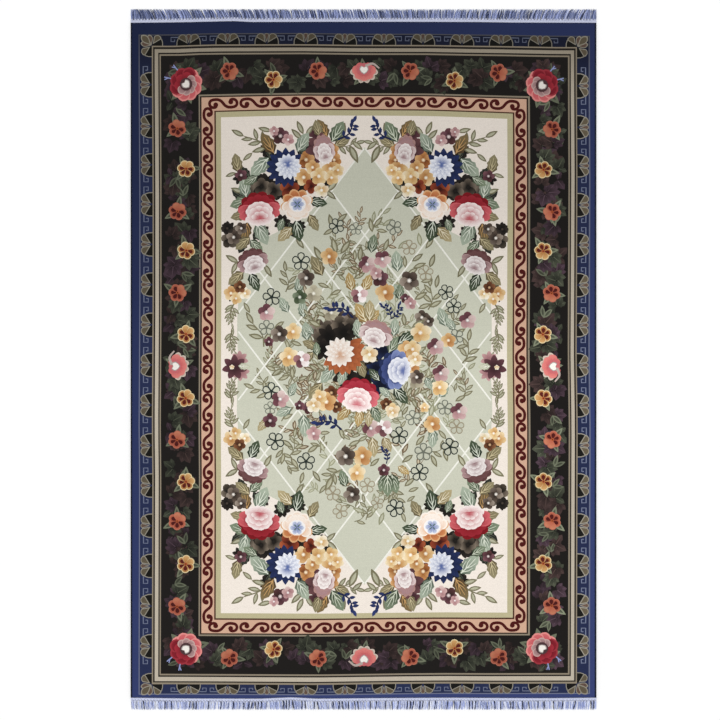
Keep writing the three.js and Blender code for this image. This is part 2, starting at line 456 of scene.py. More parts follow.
def open_leaf(yarns, length=1.0, wide=0.37):
    """A leaf with a rim and a pale heart that darkens to one side."""
    rim, heart = OPEN_YARNS[yarns]
    whole = blade(length, wide * length, 0.9, 0.85)
    middle = blade(length * 0.66, wide * length * 0.5, 0.95, 0.9, n=5) + (0, length * 0.15)
    across = ((-wide * 0.1 * length, 0), (wide * 0.7 * length, 0))
    return [Patch(whole, rim), Patch(middle, heart, rim, across)]


LEAF_SHARE = {1: 0.46, 2: 0.46, 3: 0.36, 5: 0.3}  # a leaf's share of a spray with so many pairs


def spray(yarns, length=1.0, pairs=2, bend=0.18):
    """A bent stem with open leaves, one after another on either side, and one at its tip."""
    stem = curve([(0, 0), (bend * 0.6 * length, length * 0.35), (0, length * 0.78)], per=4)
    found = [Patch(line(stem, 0.05 * length, 0.5), OPEN_YARNS[yarns][0])]
    size = length * LEAF_SHARE[pairs]
    for k in range(2 * pairs):
        at = stem[1 + round(k * (len(stem) - 3) / (2 * pairs - 0.5))]
        side = 1 if k % 2 else -1
        found += placed(open_leaf(yarns, size * (1.08 - 0.05 * k)), *at, side * (56 - 4 * k))
    return found + placed(open_leaf(yarns, size), *stem[-1], 6)


SPRIG_YARNS = {"stem": "182146", "leaf": ("141b38", "26315c"), "tip": ("182146", "2c3869")}


def sprig(length=1.0):
    """A navy sprig: a bowed stem with small solid leaves."""
    stem = curve([(0, 0), (0.1 * length, length * 0.45), (-0.12 * length, length * 0.85)], per=4)
    found = [Patch(line(stem, 0.07 * length, 0.6), SPRIG_YARNS["stem"])]
    small = [Patch(blade(0.27 * length, 0.13 * length, n=4), *SPRIG_YARNS["leaf"])]
    for k in (2, 4, 6, 7):
        for side in (-1, 1):
            found += placed(small, *stem[k], side * 50)
    tip = [Patch(blade(0.3 * length, 0.14 * length, n=4), *SPRIG_YARNS["tip"])]
    return found + placed(tip, *stem[-1], 25)


print("leaf kinds:", ", ".join(LEAF_YARNS))

# %% [markdown]
# Small flowers
#
# Small blossoms of five petals fill the gaps, some in full colour and some only in outline. A petal
# could be drawn five times, but turning one petal about the heart is how a chart is made. The petals
# take their yarns in turn from a short list, so one function gives plain, two-coloured and mixed
# flowers, and the pale heart covers the place where the petals meet.

# %% Small flowers
FLOWER_YARNS = {  # petals in turn as (near the heart, at the rim), and the heart
    "ochre": ([("b27a42", "d8b07c"), ("c38f52", "e3c594"), ("d4a66c", "ecd6ac"),
               ("a96c3a", "cd9c68")], "fbf3dd"),
    "yellow": ([("d0a062", "ebd3a2"), ("dfba7e", "f3e4c4"), ("c08c50", "e0bd86")], "fdf8ea"),
    "cream": ([("e0c793", "f8efdd"), ("d0a66c", "f0dfc0"), ("ead9b0", "fbf5e8")], "fffdf5"),
    "tan": ([("8a5228", "c58a54"), ("a56c3a", "d6a874"), ("6e3c1c", "a8693c")], "f3ddba"),
    "brick": ([("4c1a12", "8f4028"), ("6c2a1a", "ad5a38")], "3a1510"),
    "bark": ([("3c2014", "75492e"), ("53301f", "8c5c3c")], "d8b48a"),
    "plum": ([("3f2529", "653f45"), ("50313a", "7c5359"), ("34201f", "573536")], "e6d6d2"),
    "two": ([("4e3136", "6d4349"), ("5b383e", "74494f"), ("a87c7f", "c49d9c"),
             ("b58a8c", "cfaeac"), ("c7aaa6", "dcc7c1")], "fbf4ef"),
    "mauve": ([("9a6d70", "c09796"), ("b38788", "d1afab"), ("c39c9a", "dfc8c2")], "faf1ee"),
    "white": ([("f0e8e2", "fbf8f4"), ("8a5c61", "a97b7c"), ("5c3c41", "7c5156"),
               ("ead9d6", "f9f3f0"), ("c9a5a5", "e0c6c4")], "ffffff"),
    "taupe": ([("2f2620", "5c4e44"), ("75675b", "9c8f82"), ("5b4d43", "83766a"),
               ("463a32", "71645a")], "f3ece2"),
    "moss": ([("38432f", "566349"), ("5e6b52", "859179")], "eef0e2"),
    "ash": ([("9f9680", "bcb59d"), ("b8b199", "cfcab4"), ("857c68", "a79f88")], "f2efe0"),
    "black": ([("12100e", "2b2520"), ("1d1916", "3b332d")], "4a4038"),
    "navy": ([("0e1325", "232e50"), ("161f3c", "33406c")], "10141f"),
    "gloom": ([("15120f", "62574b"), ("231e19", "7d7062"), ("12100e", "4b4238")], "1f1b17"),
}


def blossom(yarns, r=1.0, petals=5):
    """A small five-petalled flower of that radius, with a pale heart."""
    dyes, heart = FLOWER_YARNS[yarns]
    shape = disc(0, 0.53 * r, 0.46 * r, 0.48 * r, n=9, turn=20)
    found = []
    for k in range(petals):
        near, far = dyes[k % len(dyes)]
        petal = Patch(shape, near, far, ((0, 0.2 * r), (0, 0.9 * r)))
        found += placed([petal], 0, 0, 360 / petals * k)
    glow = silk(heart) * 0.45 + silk(dyes[0][0]) * 0.55
    return found + [Patch(disc(0, 0, 0.24 * r, n=7), glow), Patch(disc(0, 0, 0.14 * r, n=6), heart)]


RIM_YARNS = {"dark": "27302c", "grey": "6f7266", "tan": "9b9078"}


def ring_flower(rim, r=1.0, petals=5, ground="c6c7b4"):
    """A flower in outline: each petal is a dark loop on the ground's colour."""
    loop = blade(1.05 * r, 0.86 * r, 1.7, 0.55)
    inner = blade(0.76 * r, 0.6 * r, 1.6, 0.55) + (0, 0.17 * r)
    found = []
    for k in range(petals):
        found += placed([Patch(loop, RIM_YARNS[rim]), Patch(inner, ground)], 0, 0, 360 / petals * k)
    return found + [Patch(disc(0, 0, 0.13 * r, n=6), RIM_YARNS[rim])]


print("small flower kinds:", ", ".join(FLOWER_YARNS))

# %% [markdown]
# Large blooms
#
# The big flowers are a peony, with a dark crown of back petals behind a mound of pale ruffles, a
# dahlia with rows of pointed petals, a half-open rose, and a bowl of peach petals round a pale cup.
# All are rings of one petal, laid from the back row to the front, so each row hides the feet of the
# one behind it. That is how the real bloom is built, and it needs no outline of its own.

# %% Large blooms
PEONY_YARNS = {  # crown, side petals, ruffles (shade, edge), hollow between them
    "crimson": (("4a0a10", "82161e"), ("9c2833", "cf6268"), ("bd5a62", "fbf0ec"), "93303a"),
    "rose": (("55101a", "98222f"), ("ab3644", "d86f77"), ("cb727a", "fbf2ee"), "a8444f"),
    "blue": (("141a30", "27335a"), ("475488", "7f8cba"), ("6472a8", "f4f5fa"), "303b64"),
    "mauve": (("3a2227", "64403f"), ("6e4a4a", "ae8e8e"), ("9a7c7e", "f2ebe8"), "6a4b4e"),
    "blush": (("75504c", "b08984"), ("a58285", "dcc8c5"), ("a98a8b", "f8f1ed"), "8a6a6a"),
}


def petal_ring(near, far, r, wide, count, first=0.0, last=360.0, edge=None, kind=(1.5, 0.55), n=7):
    """Petals about the centre; where edge is given each has a rim of that colour."""
    found = []
    for k in range(count):
        turn = first + (last - first) * (k / count if last - first >= 360 else k / max(1, count - 1))
        shape = blade(r, wide * r, *kind, n=n)
        if edge is not None:
            found += placed([Patch(shape, edge)], 0, 0, turn)
            shape = blade(0.9 * r, 0.84 * wide * r, *kind, n=n)
        found += placed([Patch(shape, near, far, ((0, 0.25 * r), (0, 0.95 * r)))], 0, 0, turn)
    return found


def ruffles(shade, edge, rows):
    """A mound of small petals, back row first; a row is its y, reach, count and half spread."""
    found = []
    for y, reach, count, spread in rows:
        petals = petal_ring(shade, edge, reach, 0.66, count, -spread, spread, kind=(1.9, 0.5))
        found += placed(petals[::2] + petals[1::2], 0, y)
    return found


PEONY_SHAPE = np.diag([1.06, 0.88])  # a peony is wider than tall


def peony(yarns, r=1.0):
    """A full bloom seen from the front: dark crown, side petals curling round a pale mound."""
    crown, sides, ruffle, hollow = PEONY_YARNS[yarns]
    found = placed(petal_ring(*crown, 0.98 * r, 0.6, 6, -80, 80, kind=(1.6, 0.5)), 0, 0.02 * r)
    found += placed(petal_ring(crown[1], sides[0], 0.8 * r, 0.6, 5, -62, 62, kind=(1.6, 0.5)), 0, 0.04 * r)
    for turn, reach in ((84, 1.0), (-84, 1.0), (110, 1.0), (-110, 1.0)):
        found += placed(petal_ring(*sides, reach * r, 0.6, 1, edge=sides[1]), 0, -0.04 * r, turn)
    found += placed(petal_ring(ruffle[0], ruffle[1], 0.84 * r, 0.52, 6, 128, 232), 0, -0.12 * r)
    found += [Patch(disc(0, -0.12 * r, 0.72 * r, 0.46 * r, n=14), hollow, ruffle[0],
                    ((0, 0.34 * r), (0, -0.6 * r)))]
    rows = [(-0.22 * r, 0.66 * r, 6, 72), (-0.4 * r, 0.6 * r, 5, 78), (-0.52 * r, 0.42 * r, 4, 64)]
    return [p.moved(PEONY_SHAPE, (0, 0)) for p in found + ruffles(*ruffle, rows)]


def dahlia(back, body, tip, r=1.0, back_turns=(-50, 200), face=190.0, shift=(0.18, -0.12)):
    """Rows of pointed petals that all look one way, over a dark fan of back petals."""
    pointed = (1.2, 0.85)
    found = petal_ring(*back, 1.22 * r, 0.4, 11, *back_turns, kind=pointed)
    found += petal_ring(*back, 0.98 * r, 0.4, 9, back_turns[0] + 8, back_turns[1] - 8, kind=pointed)
    c, s = math.cos(math.radians(face)), math.sin(math.radians(face))
    rows = ((0.2, 1.0, 13, 168), (0.28, 0.88, 11, 140), (0.34, 0.72, 8, 110), (0.36, 0.54, 6, 90),
            (0.3, 0.34, 5, 120))
    for drop, reach, count, spread in rows:
        turns = (face - spread, face + spread)
        petals = petal_ring(body, tip, 0.8 * reach * r, 0.46, count, *turns, kind=pointed)
        found += placed(petals, (shift[0] + 0.84 * s * drop) * r, (shift[1] - 0.84 * c * drop) * r)
    return found


def cup_rose(r=1.0):
    """A half-open rose, taller than wide, with plum petals standing behind it on the left."""
    found = petal_ring("3d2529", "6b4648", 1.25 * r, 0.5, 3, 4, 96, kind=(1.3, 0.7))
    tall = [p.moved(np.diag([0.74, 1.27]), (0, 0)) for p in peony("blush", r)]
    return found + placed(tall, 0.1 * r, 0, 12)


def open_bloom(r=1.0):
    """A peach flower like a bowl, its back petals orange, round a cup of small pale ones."""
    found = petal_ring("9c4524", "cf8a58", 1.02 * r, 0.62, 5, -64, 96, edge="dba878")
    found += petal_ring("e2b08c", "f7e9da", 0.96 * r, 0.7, 6, 100, 300, edge="f9efe4")
    bowl = disc(0, -0.08 * r, 0.68 * r, 0.66 * r, n=14)
    found += [Patch(bowl, "e9bd9c", "f8ede2", ((0, 0.5 * r), (0, -0.5 * r)))]
    found += [Patch(disc(0, 0.06 * r, 0.52 * r, 0.46 * r, n=14), "f6f2f0")]
    found += placed(petal_ring("7f8cb8", "cdd4e6", 0.46 * r, 0.74, 6, 30, 390, edge="eef0f5"), 0, 0.08 * r)
    return found + placed(petal_ring("3f5a48", "5f7a68", 0.26 * r, 0.26, 4, 45, 405), 0, 0.06 * r)


print("large blooms:", ", ".join(PEONY_YARNS))

# %% [markdown]
# The flower border
#
# On the near-black main border a rose sits at each corner and at the middle of each side. Between
# them small orange and yellow flowers take turns, the orange ones further out, with plum leaf stars
# and dull green leaves in the dark behind them. The flowers stand at set distances from the middle of
# their side. The leaves behind them could be placed one by one too, but they are many and hardly
# seen, so they are scattered by seeded draws, and any that would cross the outer guard lines are
# dropped.

# %% The flower border
BORDER_MIDDLE = (0.3, -2.5)
ROSE_AT = (69.8, 111.3)
ROSE_SIZE = 6.5
SIDE_FLOWERS = [(12.6, "yellow"), (28.9, "orange"), (45.5, "yellow"), (61.0, "orange"),
                (77.9, "yellow"), (94.6, "orange")]
END_FLOWERS = [(18.1, "orange"), (35.5, "yellow"), (52.8, "orange")]
BLOOM_HEART = "a8552f"
SMALL_BLOOM = {  # rim, petal with a wedge, plain petal near the heart and at its rim, wedge, step out
    "orange": ("ad6552", "86402f", "a95b45", "bb795c", "481514", 1.1),
    "yellow": ("d8c599", "a67040", "a97643", "cda36c", "561b16", -2.3),
}


def small_bloom(kind, r=3.6):
    """Six round petals with a pale rim, all but two with a dark wedge."""
    rim, near, plain_near, plain_far, wedge, _ = SMALL_BLOOM[kind]
    found = []
    wedge_shape = blade(0.62 * r, 0.42 * r, 1.5, 0.6) + (0, 0.12 * r)
    for k in (0, 5, 4, 3, 2, 1):
        wedged = k not in (3, 4)
        dyes = (near, plain_near) if wedged else (plain_near, plain_far)
        petal = petal_ring(*dyes, r, 0.84, 1, edge=rim, kind=(1.6, 0.55))
        if wedged:
            petal.append(Patch(wedge_shape, wedge))
        found += placed(petal, 0, 0, 60 * k + 20)
    found.append(Patch(disc(0, 0, 0.16 * r, n=7), BLOOM_HEART))
    return found + [Patch(disc(0, 0, 0.08 * r, n=6), wedge)]


STAMEN_YARN = "8d97c4"


def border_rose(r=ROSE_SIZE):
    """Crimson petals at the top, pink ones about the rest, grey curls and a white heart."""
    found = petal_ring("b44650", "cf6a6c", 1.0 * r, 0.78, 6, 82, 278, edge="de8b86")
    found += petal_ring("4a0d16", "8a1f2c", 1.02 * r, 0.8, 4, -62, 62, edge="97303a")
    found += petal_ring("6b1620", "a02c38", 0.72 * r, 0.8, 3, -50, 50)
    found += petal_ring("7c5a5c", "b08e8c", 0.66 * r, 0.8, 5, 95, 265, edge="c0a29c")
    stamens = [Patch(line([(0, 0.98 * r), (0.06 * r, 1.38 * r)], 0.07 * r), STAMEN_YARN)]
    stamens.append(Patch(line([(0.03 * r, 1.15 * r), (0.2 * r, 1.32 * r)], 0.06 * r), STAMEN_YARN))
    found += placed(stamens, 0, 0, 14) + placed(stamens, 0, 0, -24)
    return found + [Patch(disc(0, 0, 0.38 * r, n=12), "4c3436"), *white_heart(0.34 * r)]


def white_heart(size):
    """Two pale lobes with a soft grey rim."""
    heart = curve([(0, -0.8), (0.8, 0), (0.5, 0.7), (0, 0.45), (-0.5, 0.7), (-0.8, 0)], per=2, closed=True)
    return [Patch(heart * size, "a39a96"), Patch(heart * 0.8 * size, "efeae2")]


def side_rose(r=0.88 * ROSE_SIZE):
    """A rose seen from its side: a pink dome hanging from its heart, a grey frill and a curled tail."""
    frill = petal_ring("8d6f68", "b9a295", 1.0 * r, 0.5, 6, 106, 254, edge="cbbcae")
    dome = petal_ring("c25a5c", "d87f78", 0.84 * r, 0.8, 5, 100, 260)
    dome += petal_ring("a8474c", "cf6f6c", 0.6 * r, 0.9, 4, 60, 300)
    dome.append(Patch(disc(0, 0, 0.5 * r, 0.42 * r, n=12), "c0666a"))
    found = placed(frill + dome, 0, 0.35 * r)
    tail = curve([(0.1 * r, 0.55 * r), (0.6 * r, 0.72 * r), (1.05 * r, 0.4 * r)], per=4)
    found.append(Patch(line(tail, 0.2 * r, 0.5), "b3a49c"))
    return found + placed(white_heart(0.4 * r), 0, 0.3 * r)


BEHIND = {  # the leaves in the dark; pairs of numbers are the least and the most
    "apart": 2.1, "deep": 4.4, "astray": 1.2, "margin": 0.3,
    "lobe": (4.2, 5.8), "pair": (4.2, 5.4), "by flower": (5.2, 6.6), "by rose": (7.5, 9.5),
    "lobe dye": (0.7, 1.15), "pair dye": (0.6, 0.95), "near dye": (0.9, 1.2),
}
SHADE_YARNS = {  # a leaf in the dark: base, tip, midrib
    "plum": ("1c1416", "41313a", "52404a"),
    "rust": ("1c1514", "3b2d2b", "4b3b37"),
    "moss": ("191b16", "3f4236", "565a49"),
}


def shade_leaf(yarns, length):
    """A serrated leaf in the dark with a faint midrib."""
    base, tip, midrib = SHADE_YARNS[yarns]
    shape = blade(length, 0.66 * length, 0.82, 0.7, saw=0.25, n=6)
    rib = line([(0, 0.1 * length), (0, 0.8 * length)], 0.05 * length, 0.5)
    return [Patch(shape, base, tip, ((0, 0), (0, 0.9 * length))), Patch(rib, midrib)]


def undergrowth(reach):
    """Lobed leaves in the dark and a pair of green ones, for a stretch of border."""
    found = []
    deep, astray = BEHIND["deep"], BEHIND["astray"]
    for k in range(round(reach / BEHIND["apart"])):
        across = deep * (0.5 if k % 2 else -0.5) + rng.uniform(-astray, astray)
        along, turn = rng.uniform(-0.5, 0.5) * reach, rng.uniform(0, 360)
        kind = rng.choice(list(SHADE_YARNS))
        length, dye_and_light = rng.uniform(*BEHIND["lobe"]), rng.uniform(*BEHIND["lobe dye"])
        for step in (-84, 84, -42, 42, 0):
            lobe = shade_leaf(kind, length * (1 - abs(step) / 300))
            found.append(placed(lobe, along, across, turn + step, 1.0, dye_and_light))
    turn = rng.uniform(0, 360)
    across, along = rng.uniform(-0.5, 0.5) * deep, rng.uniform(-0.5, 0.5) * reach
    for step in (0, 50):
        green = open_leaf("shade", rng.uniform(*BEHIND["pair"]))
        found.append(placed(green, along, across, turn + step, 1.0, rng.uniform(*BEHIND["pair dye"])))
    return found


SHINE = {"top": 1.0, "bottom": 1.0, "left": 1.0, "right": 1.5}  # the right side's leaves catch more light


def flower_border():
    """Every motif of the border, the leaves in the dark first and the flowers over them."""
    outer, inner = EDGE["flower ground"], EDGE["tan line 3"]
    shade, blooms = [], []
    for side, turn in (("top", 0), ("bottom", 180), ("left", 90), ("right", -90)):
        level = side in ("top", "bottom")
        middle = (outer[side] + inner[side]) / 2
        sign = 1 if side in ("top", "right") else -1
        flowers = END_FLOWERS if level else SIDE_FLOWERS
        half = ROSE_AT[0] if level else ROSE_AT[1]
        centre = BORDER_MIDDLE[0] if level else BORDER_MIDDLE[1]
        stretch = half / (len(flowers) + 1)
        for k in range(2 * len(flowers) + 3):
            along = centre - half + stretch * k
            spot = (along, middle) if level else (middle, along)
            for motif in undergrowth(stretch):
                shade.append(placed(motif, *spot, turn, 1.0, SHINE[side]))
        for at, kind in [(0, "rose"), *flowers, *[(-at, kind) for at, kind in flowers]]:
            out = 0 if kind == "rose" else SMALL_BLOOM[kind][5]
            spot = (centre + at, middle + sign * out) if level else (middle + sign * out, centre + at)
            first = rng.uniform(0, 360)
            for k in range(3):
                near = open_leaf("shade", rng.uniform(*BEHIND["by flower"]))
                # a batch of dye times the painted light of this side
                dye_and_light = rng.uniform(*BEHIND["near dye"]) * SHINE[side]
                shade.append(placed(near, *spot, first + 115 * k, 1.0, dye_and_light))
            motif = side_rose() if kind == "rose" else small_bloom(kind)
            tilt = 0 if kind == "rose" else rng.uniform(-30, 30)
            blooms += placed(motif, *spot, turn + tilt, 1.0, rng.uniform(0.9, 1.08) * SHINE[side] ** 0.4)
    for across in (-1, 1):
        for along in (-1, 1):
            spot = (BORDER_MIDDLE[0] + across * ROSE_AT[0], BORDER_MIDDLE[1] + along * ROSE_AT[1])
            outward = -across * (45 if along > 0 else 135)
            for step in (90, 150, 210, 270):
                near = open_leaf("shade", rng.uniform(*BEHIND["by rose"]))
                dye_and_light = rng.uniform(*BEHIND["near dye"])
                shade.append(placed(near, *spot, outward + step, 1.0, dye_and_light))
            blooms += placed(mirrored(border_rose(), across), *spot, outward)
    return [p for motif in shade if within_ground(motif) for p in motif] + blooms


def within_ground(motif):
    """Whether all of a motif lies inside the outer edge of the flower border's ground."""
    outer, margin = EDGE["flower ground"], BEHIND["margin"]
    x, y = np.vstack([p.outline for p in motif]).T
    across = (x.min() > outer["left"] + margin) and (x.max() < outer["right"] - margin)
    return across and (y.min() > outer["bottom"] + margin) and (y.max() < outer["top"] - margin)


dark_border = flower_border()
print(len(dark_border), "patches in the flower border")

# %% [markdown]
# The field
#
# A pale green shape with pointed ends fills the middle of the cream field, crossed by a thin white
# trellis. A trellis could be a pattern in the material, but its lines stop at the green shape's edge.
# So each is a patch of its own, cut to length by asking which points of a long slanting line lie
# inside the outline.

# %% The green ground and the trellis
FIELD_MIDDLE = (0.39, -2.55)
GREEN_HALF = [(0, 86), (-13, 68.5), (-25.5, 57), (-40.5, 49.5), (-46.5, 45.5), (-49, 33), (-50, 19),
              (-50, 12), (-49.5, 0)]
TRELLIS = {"across": 13.08, "along": 17.16, "width": 0.6, "yarn": "efeee4", "inside": 0.998}
GREEN = "cacbb9"


def green_outline():
    """The green shape's closed outline, from its upper left quarter."""
    upper = np.array(GREEN_HALF)
    left = np.vstack([upper, (upper * (1, -1))[-2::-1]])
    return np.vstack([left, (left * (-1, 1))[-2:0:-1]])


def inside(points, outline):
    """Whether each point is inside a closed outline, by counting the edges to its right."""
    x, y = points.T
    odd = np.zeros(len(points), bool)
    for (x0, y0), (x1, y1) in zip(outline, np.roll(outline, -1, 0)):
        if y0 != y1:
            crosses = (y0 > y) != (y1 > y)
            odd ^= crosses & (x < x0 + (y - y0) * (x1 - x0) / (y1 - y0))
    return odd


def trellis(outline):
    """Lines slanting both ways across the outline, each cut off at its edge."""
    found = []
    y = np.arange(-100, 100, 0.5)
    for k in (-5, -3, -1, 1, 3, 5):
        for slant in (-1, 1):
            x = TRELLIS["across"] * (k - slant * y / TRELLIS["along"])
            on = inside(np.stack([x, y], 1), outline * TRELLIS["inside"])
            if on.sum() > 2:
                ends = np.stack([x[on], y[on]], 1)[[0, -1]]
                found.append(Patch(line(np.linspace(*ends, 9), TRELLIS["width"]), TRELLIS["yarn"]))
    return found


lattice = trellis(green_outline())
print(len(lattice), "trellis lines")

# %% [markdown]
# The corner bouquet
#
# A bouquet of a crimson peony, a blue dahlia, roses and leaves fills each corner of the field. One
# bouquet is planted from a list and mirrored into the four corners, as weavers do, so only a quarter
# of the work is needed. A row of the list names a motif and its yarn and says where it grows: a
# flower's centre, turn and radius, or a leaf's foot, turn and length, in centimetres from the middle
# of the field. Dyes vary from one batch of yarn to the next, so each motif gets a strength of its own.

# %% The corner bouquet
MOTIFS = {"leaf": leaf, "open": open_leaf, "spray": spray, "flower": blossom, "ring": ring_flower,
          "sprig": lambda _, size: sprig(size), "peony": peony,
          "long spray": lambda yarns, size: spray(yarns, size, pairs=3),
          "vine": lambda yarns, size: spray(yarns, size, pairs=5),
          "blue dahlia": lambda _, size: dahlia(("0b0f20", "24305a"), "5a6ba0", "f1f3f8", size),
          "ivory dahlia": lambda _, size: dahlia(("6a2c16", "b8683f"), "d3ab8f", "fbf6ee", size,
                                                 (-235, -55), 12, (-0.2, 0.16)),
          "cup rose": lambda _, size: cup_rose(size),
          "bloom": lambda _, size: open_bloom(size),
          "star": lambda yarns, size: petal_ring(*FLOWER_YARNS[yarns][0][0], size, 0.55, 7,
                                                 kind=(1.1, 0.7))}


def planted(rows):
    """Every row's motifs in their places, each with its own strength of dye."""
    found = []
    for kind, yarns, spots in rows:
        for x, y, turn, size in spots:
            found += placed(MOTIFS[kind](yarns, size), x, y, turn, 1.0, rng.uniform(0.92, 1.06))
    return found


CORNER = [
    ("star", "black", [(-43.5, 72.5, 0, 4.5), (-53.5, 54, 10, 3), (-49.5, 48.5, 30, 2.5),
                       (-26.5, 70.5, 0, 3.5), (-14.5, 72.5, 0, 2.5), (-45.5, 67, 0, 4),
                       (-38.5, 71.5, 15, 4.5), (-49, 74, 0, 3), (-33, 69, 0, 4.5), (-22.5, 71.5, 0, 3.5),
                       (-40.5, 52.5, 0, 3.5), (-32.5, 56.5, 20, 3.5), (-52, 27.5, 0, 2.5),
                       (-25.5, 55, 0, 2.5), (-36.5, 81, 0, 4), (-38.5, 85, 0, 3)]),
    ("star", "plum", [(-20, 85, 0, 5), (-21.5, 80, 20, 4), (-18.5, 91.5, 0, 4)]),
    ("leaf", "night", [(-37, 81.5, 15, 5.5), (-25.5, 81.5, -25, 7), (-46.5, 65, 55, 7),
                       (-40.5, 55, 150, 6.5), (-30, 56.5, -155, 7), (-46.5, 50.5, 155, 7),
                       (-18.5, 67, -75, 5.5), (-45, 74.5, 50, 6), (-49, 33, 135, 6.5)]),
    ("flower", "gloom", [(-40.5, 70.5, 0, 3.5), (-35.5, 69, 30, 3.5), (-46, 69, 10, 3),
                         (-53, 49.5, 0, 3.5), (-49.5, 52.5, 30, 3)]),
    ("long spray", "olive", [(-37, 83.5, 55, 16)]),
    ("spray", "olive", [(-11, 87, -85, 9.5)]),
    ("vine", "olive", [(-51, 25, 175, 12.5), (-52, 14, -170, 12.5)]),
    ("open", "olive", [(-36.5, 92.5, 75, 5.5), (-24, 91, 25, 6), (-23, 90.5, -35, 5), (-24.5, 89, 45, 6),
                       (-50.5, 76, 110, 4.5), (-47.5, 68, 70, 5.5), (-15, 68.5, -45, 6.5),
                       (-15.5, 69, -130, 5.5), (-6, 87, -155, 8), (-27, 50.5, -145, 5.5),
                       (-49.5, 40.5, 60, 6), (-50, 41, 155, 5.5), (-39.5, 40, -150, 6),
                       (-47.5, 25, -150, 5), (-44, 84, 130, 5), (-9.5, 89, -15, 7),
                       (-5, 88.5, -130, 5.5)]),
    ("leaf", "brown", [(-35.5, 83.5, 30, 9.5), (-14.5, 90, 30, 8), (-46, 56.5, 170, 8)]),
    ("leaf", "olive", [(-49.5, 76, 10, 8), (-17.5, 90, 15, 7), (-22, 59.5, -150, 7.5),
                       (-47.5, 37, 130, 8), (-45, 50.5, 130, 7.5), (-45.5, 60, 105, 7.5),
                       (-12, 86.5, -65, 7)]),
    ("leaf", "tan", [(-28.5, 54.5, 135, 8)]),
    ("leaf", "mist", [(-37.5, 82, 135, 10.5), (-46.5, 66, 10, 8.5), (-42.5, 56.5, -155, 10),
                      (-26.5, 84, -30, 9)]),
    ("leaf", "green", [(-45, 65.5, 110, 8.5), (-32, 58, 160, 5.5), (-45, 49.5, -135, 7),
                       (-13, 88, -30, 9.5), (-42, 74.5, 120, 6.5)]),
    ("leaf", "dark", [(-27, 57.5, -170, 9), (-22, 65, -100, 7.5), (-45, 36.5, -155, 8)]),
    ("sprig", None, [(-10.5, 89, -50, 10.5)]),
    ("flower", "plum", [(-33, 90.5, 0, 3.5), (-48.5, 75, 20, 2.5)]),
    ("flower", "mauve", [(-35.5, 92.5, 0, 2), (-30, 89, 30, 2.5)]),
    ("flower", "tan", [(-23, 81, 0, 3.5), (-12, 81, 30, 3), (-12.5, 85, 0, 2.5)]),
    ("flower", "ochre", [(-24, 74, 10, 3.5), (-20.5, 78, 0, 3), (-13.5, 77.5, 20, 3.5),
                         (-52.5, 28.5, 0, 3)]),
    ("flower", "brick", [(-29.5, 69.5, 0, 4), (-21, 70.5, 30, 3)]),
    ("flower", "yellow", [(-18, 74.5, 0, 3.5), (-13, 74, 15, 3), (-50.5, 26.5, 20, 2.5),
                          (-10.5, 77, 0, 2.5)]),
    ("flower", "cream", [(-17, 69, 0, 3), (-47, 28.5, 0, 2.5)]),
    ("flower", "bark", [(-49, 31, 0, 2.5)]),
    ("flower", "taupe", [(-51.5, 50.5, 0, 3), (-48.5, 54, 20, 2.5)]),
    ("flower", "black", [(-54, 54, 20, 2.5)]),
    ("blue dahlia", None, [(-31, 78, 0, 6.5)]),
    ("cup rose", None, [(-16.5, 85, 0, 5.5)]),
    ("peony", "crimson", [(-41.5, 61.5, 6, 8)]),
    ("bloom", None, [(-26.5, 63, 0, 6.5)]),
    ("peony", "mauve", [(-44, 41, 20, 6)]),
]
STAR_FLOWERS = [
    ("star", "mauve", [(-49, 2.5, 0, 3.5), (-48.5, -2.5, 20, 3.5)]),
    ("star", "plum", [(-51, -0.5, 0, 5)]),
    ("leaf", "pale", [(-49.5, 0, -95, 5)]),
    ("flower", "cream", [(-52, -0.5, 0, 1)]),
]


def corners():
    """The bouquet in all four corners, and the star flowers at the middle of both sides."""
    found = []
    for across in (1, -1):
        for along in (1, -1):
            found += mirrored(planted(CORNER), across, along)
        found += mirrored(planted(STAR_FLOWERS), across)
    return found


corner_bouquets = corners()
print(len(corner_bouquets), "patches in the corner bouquets")

# %% [markdown]
# The climbing flowers
#
# Leaves and small flowers, some only in outline, climb over the green inside a tall diamond. The
# larger ones are planted from a list, as in the bouquet. The many faint sprays between them could be
# listed too, but what matters is that they fill the gaps evenly. So each is put at the emptiest of
# up to sixty places drawn at random.

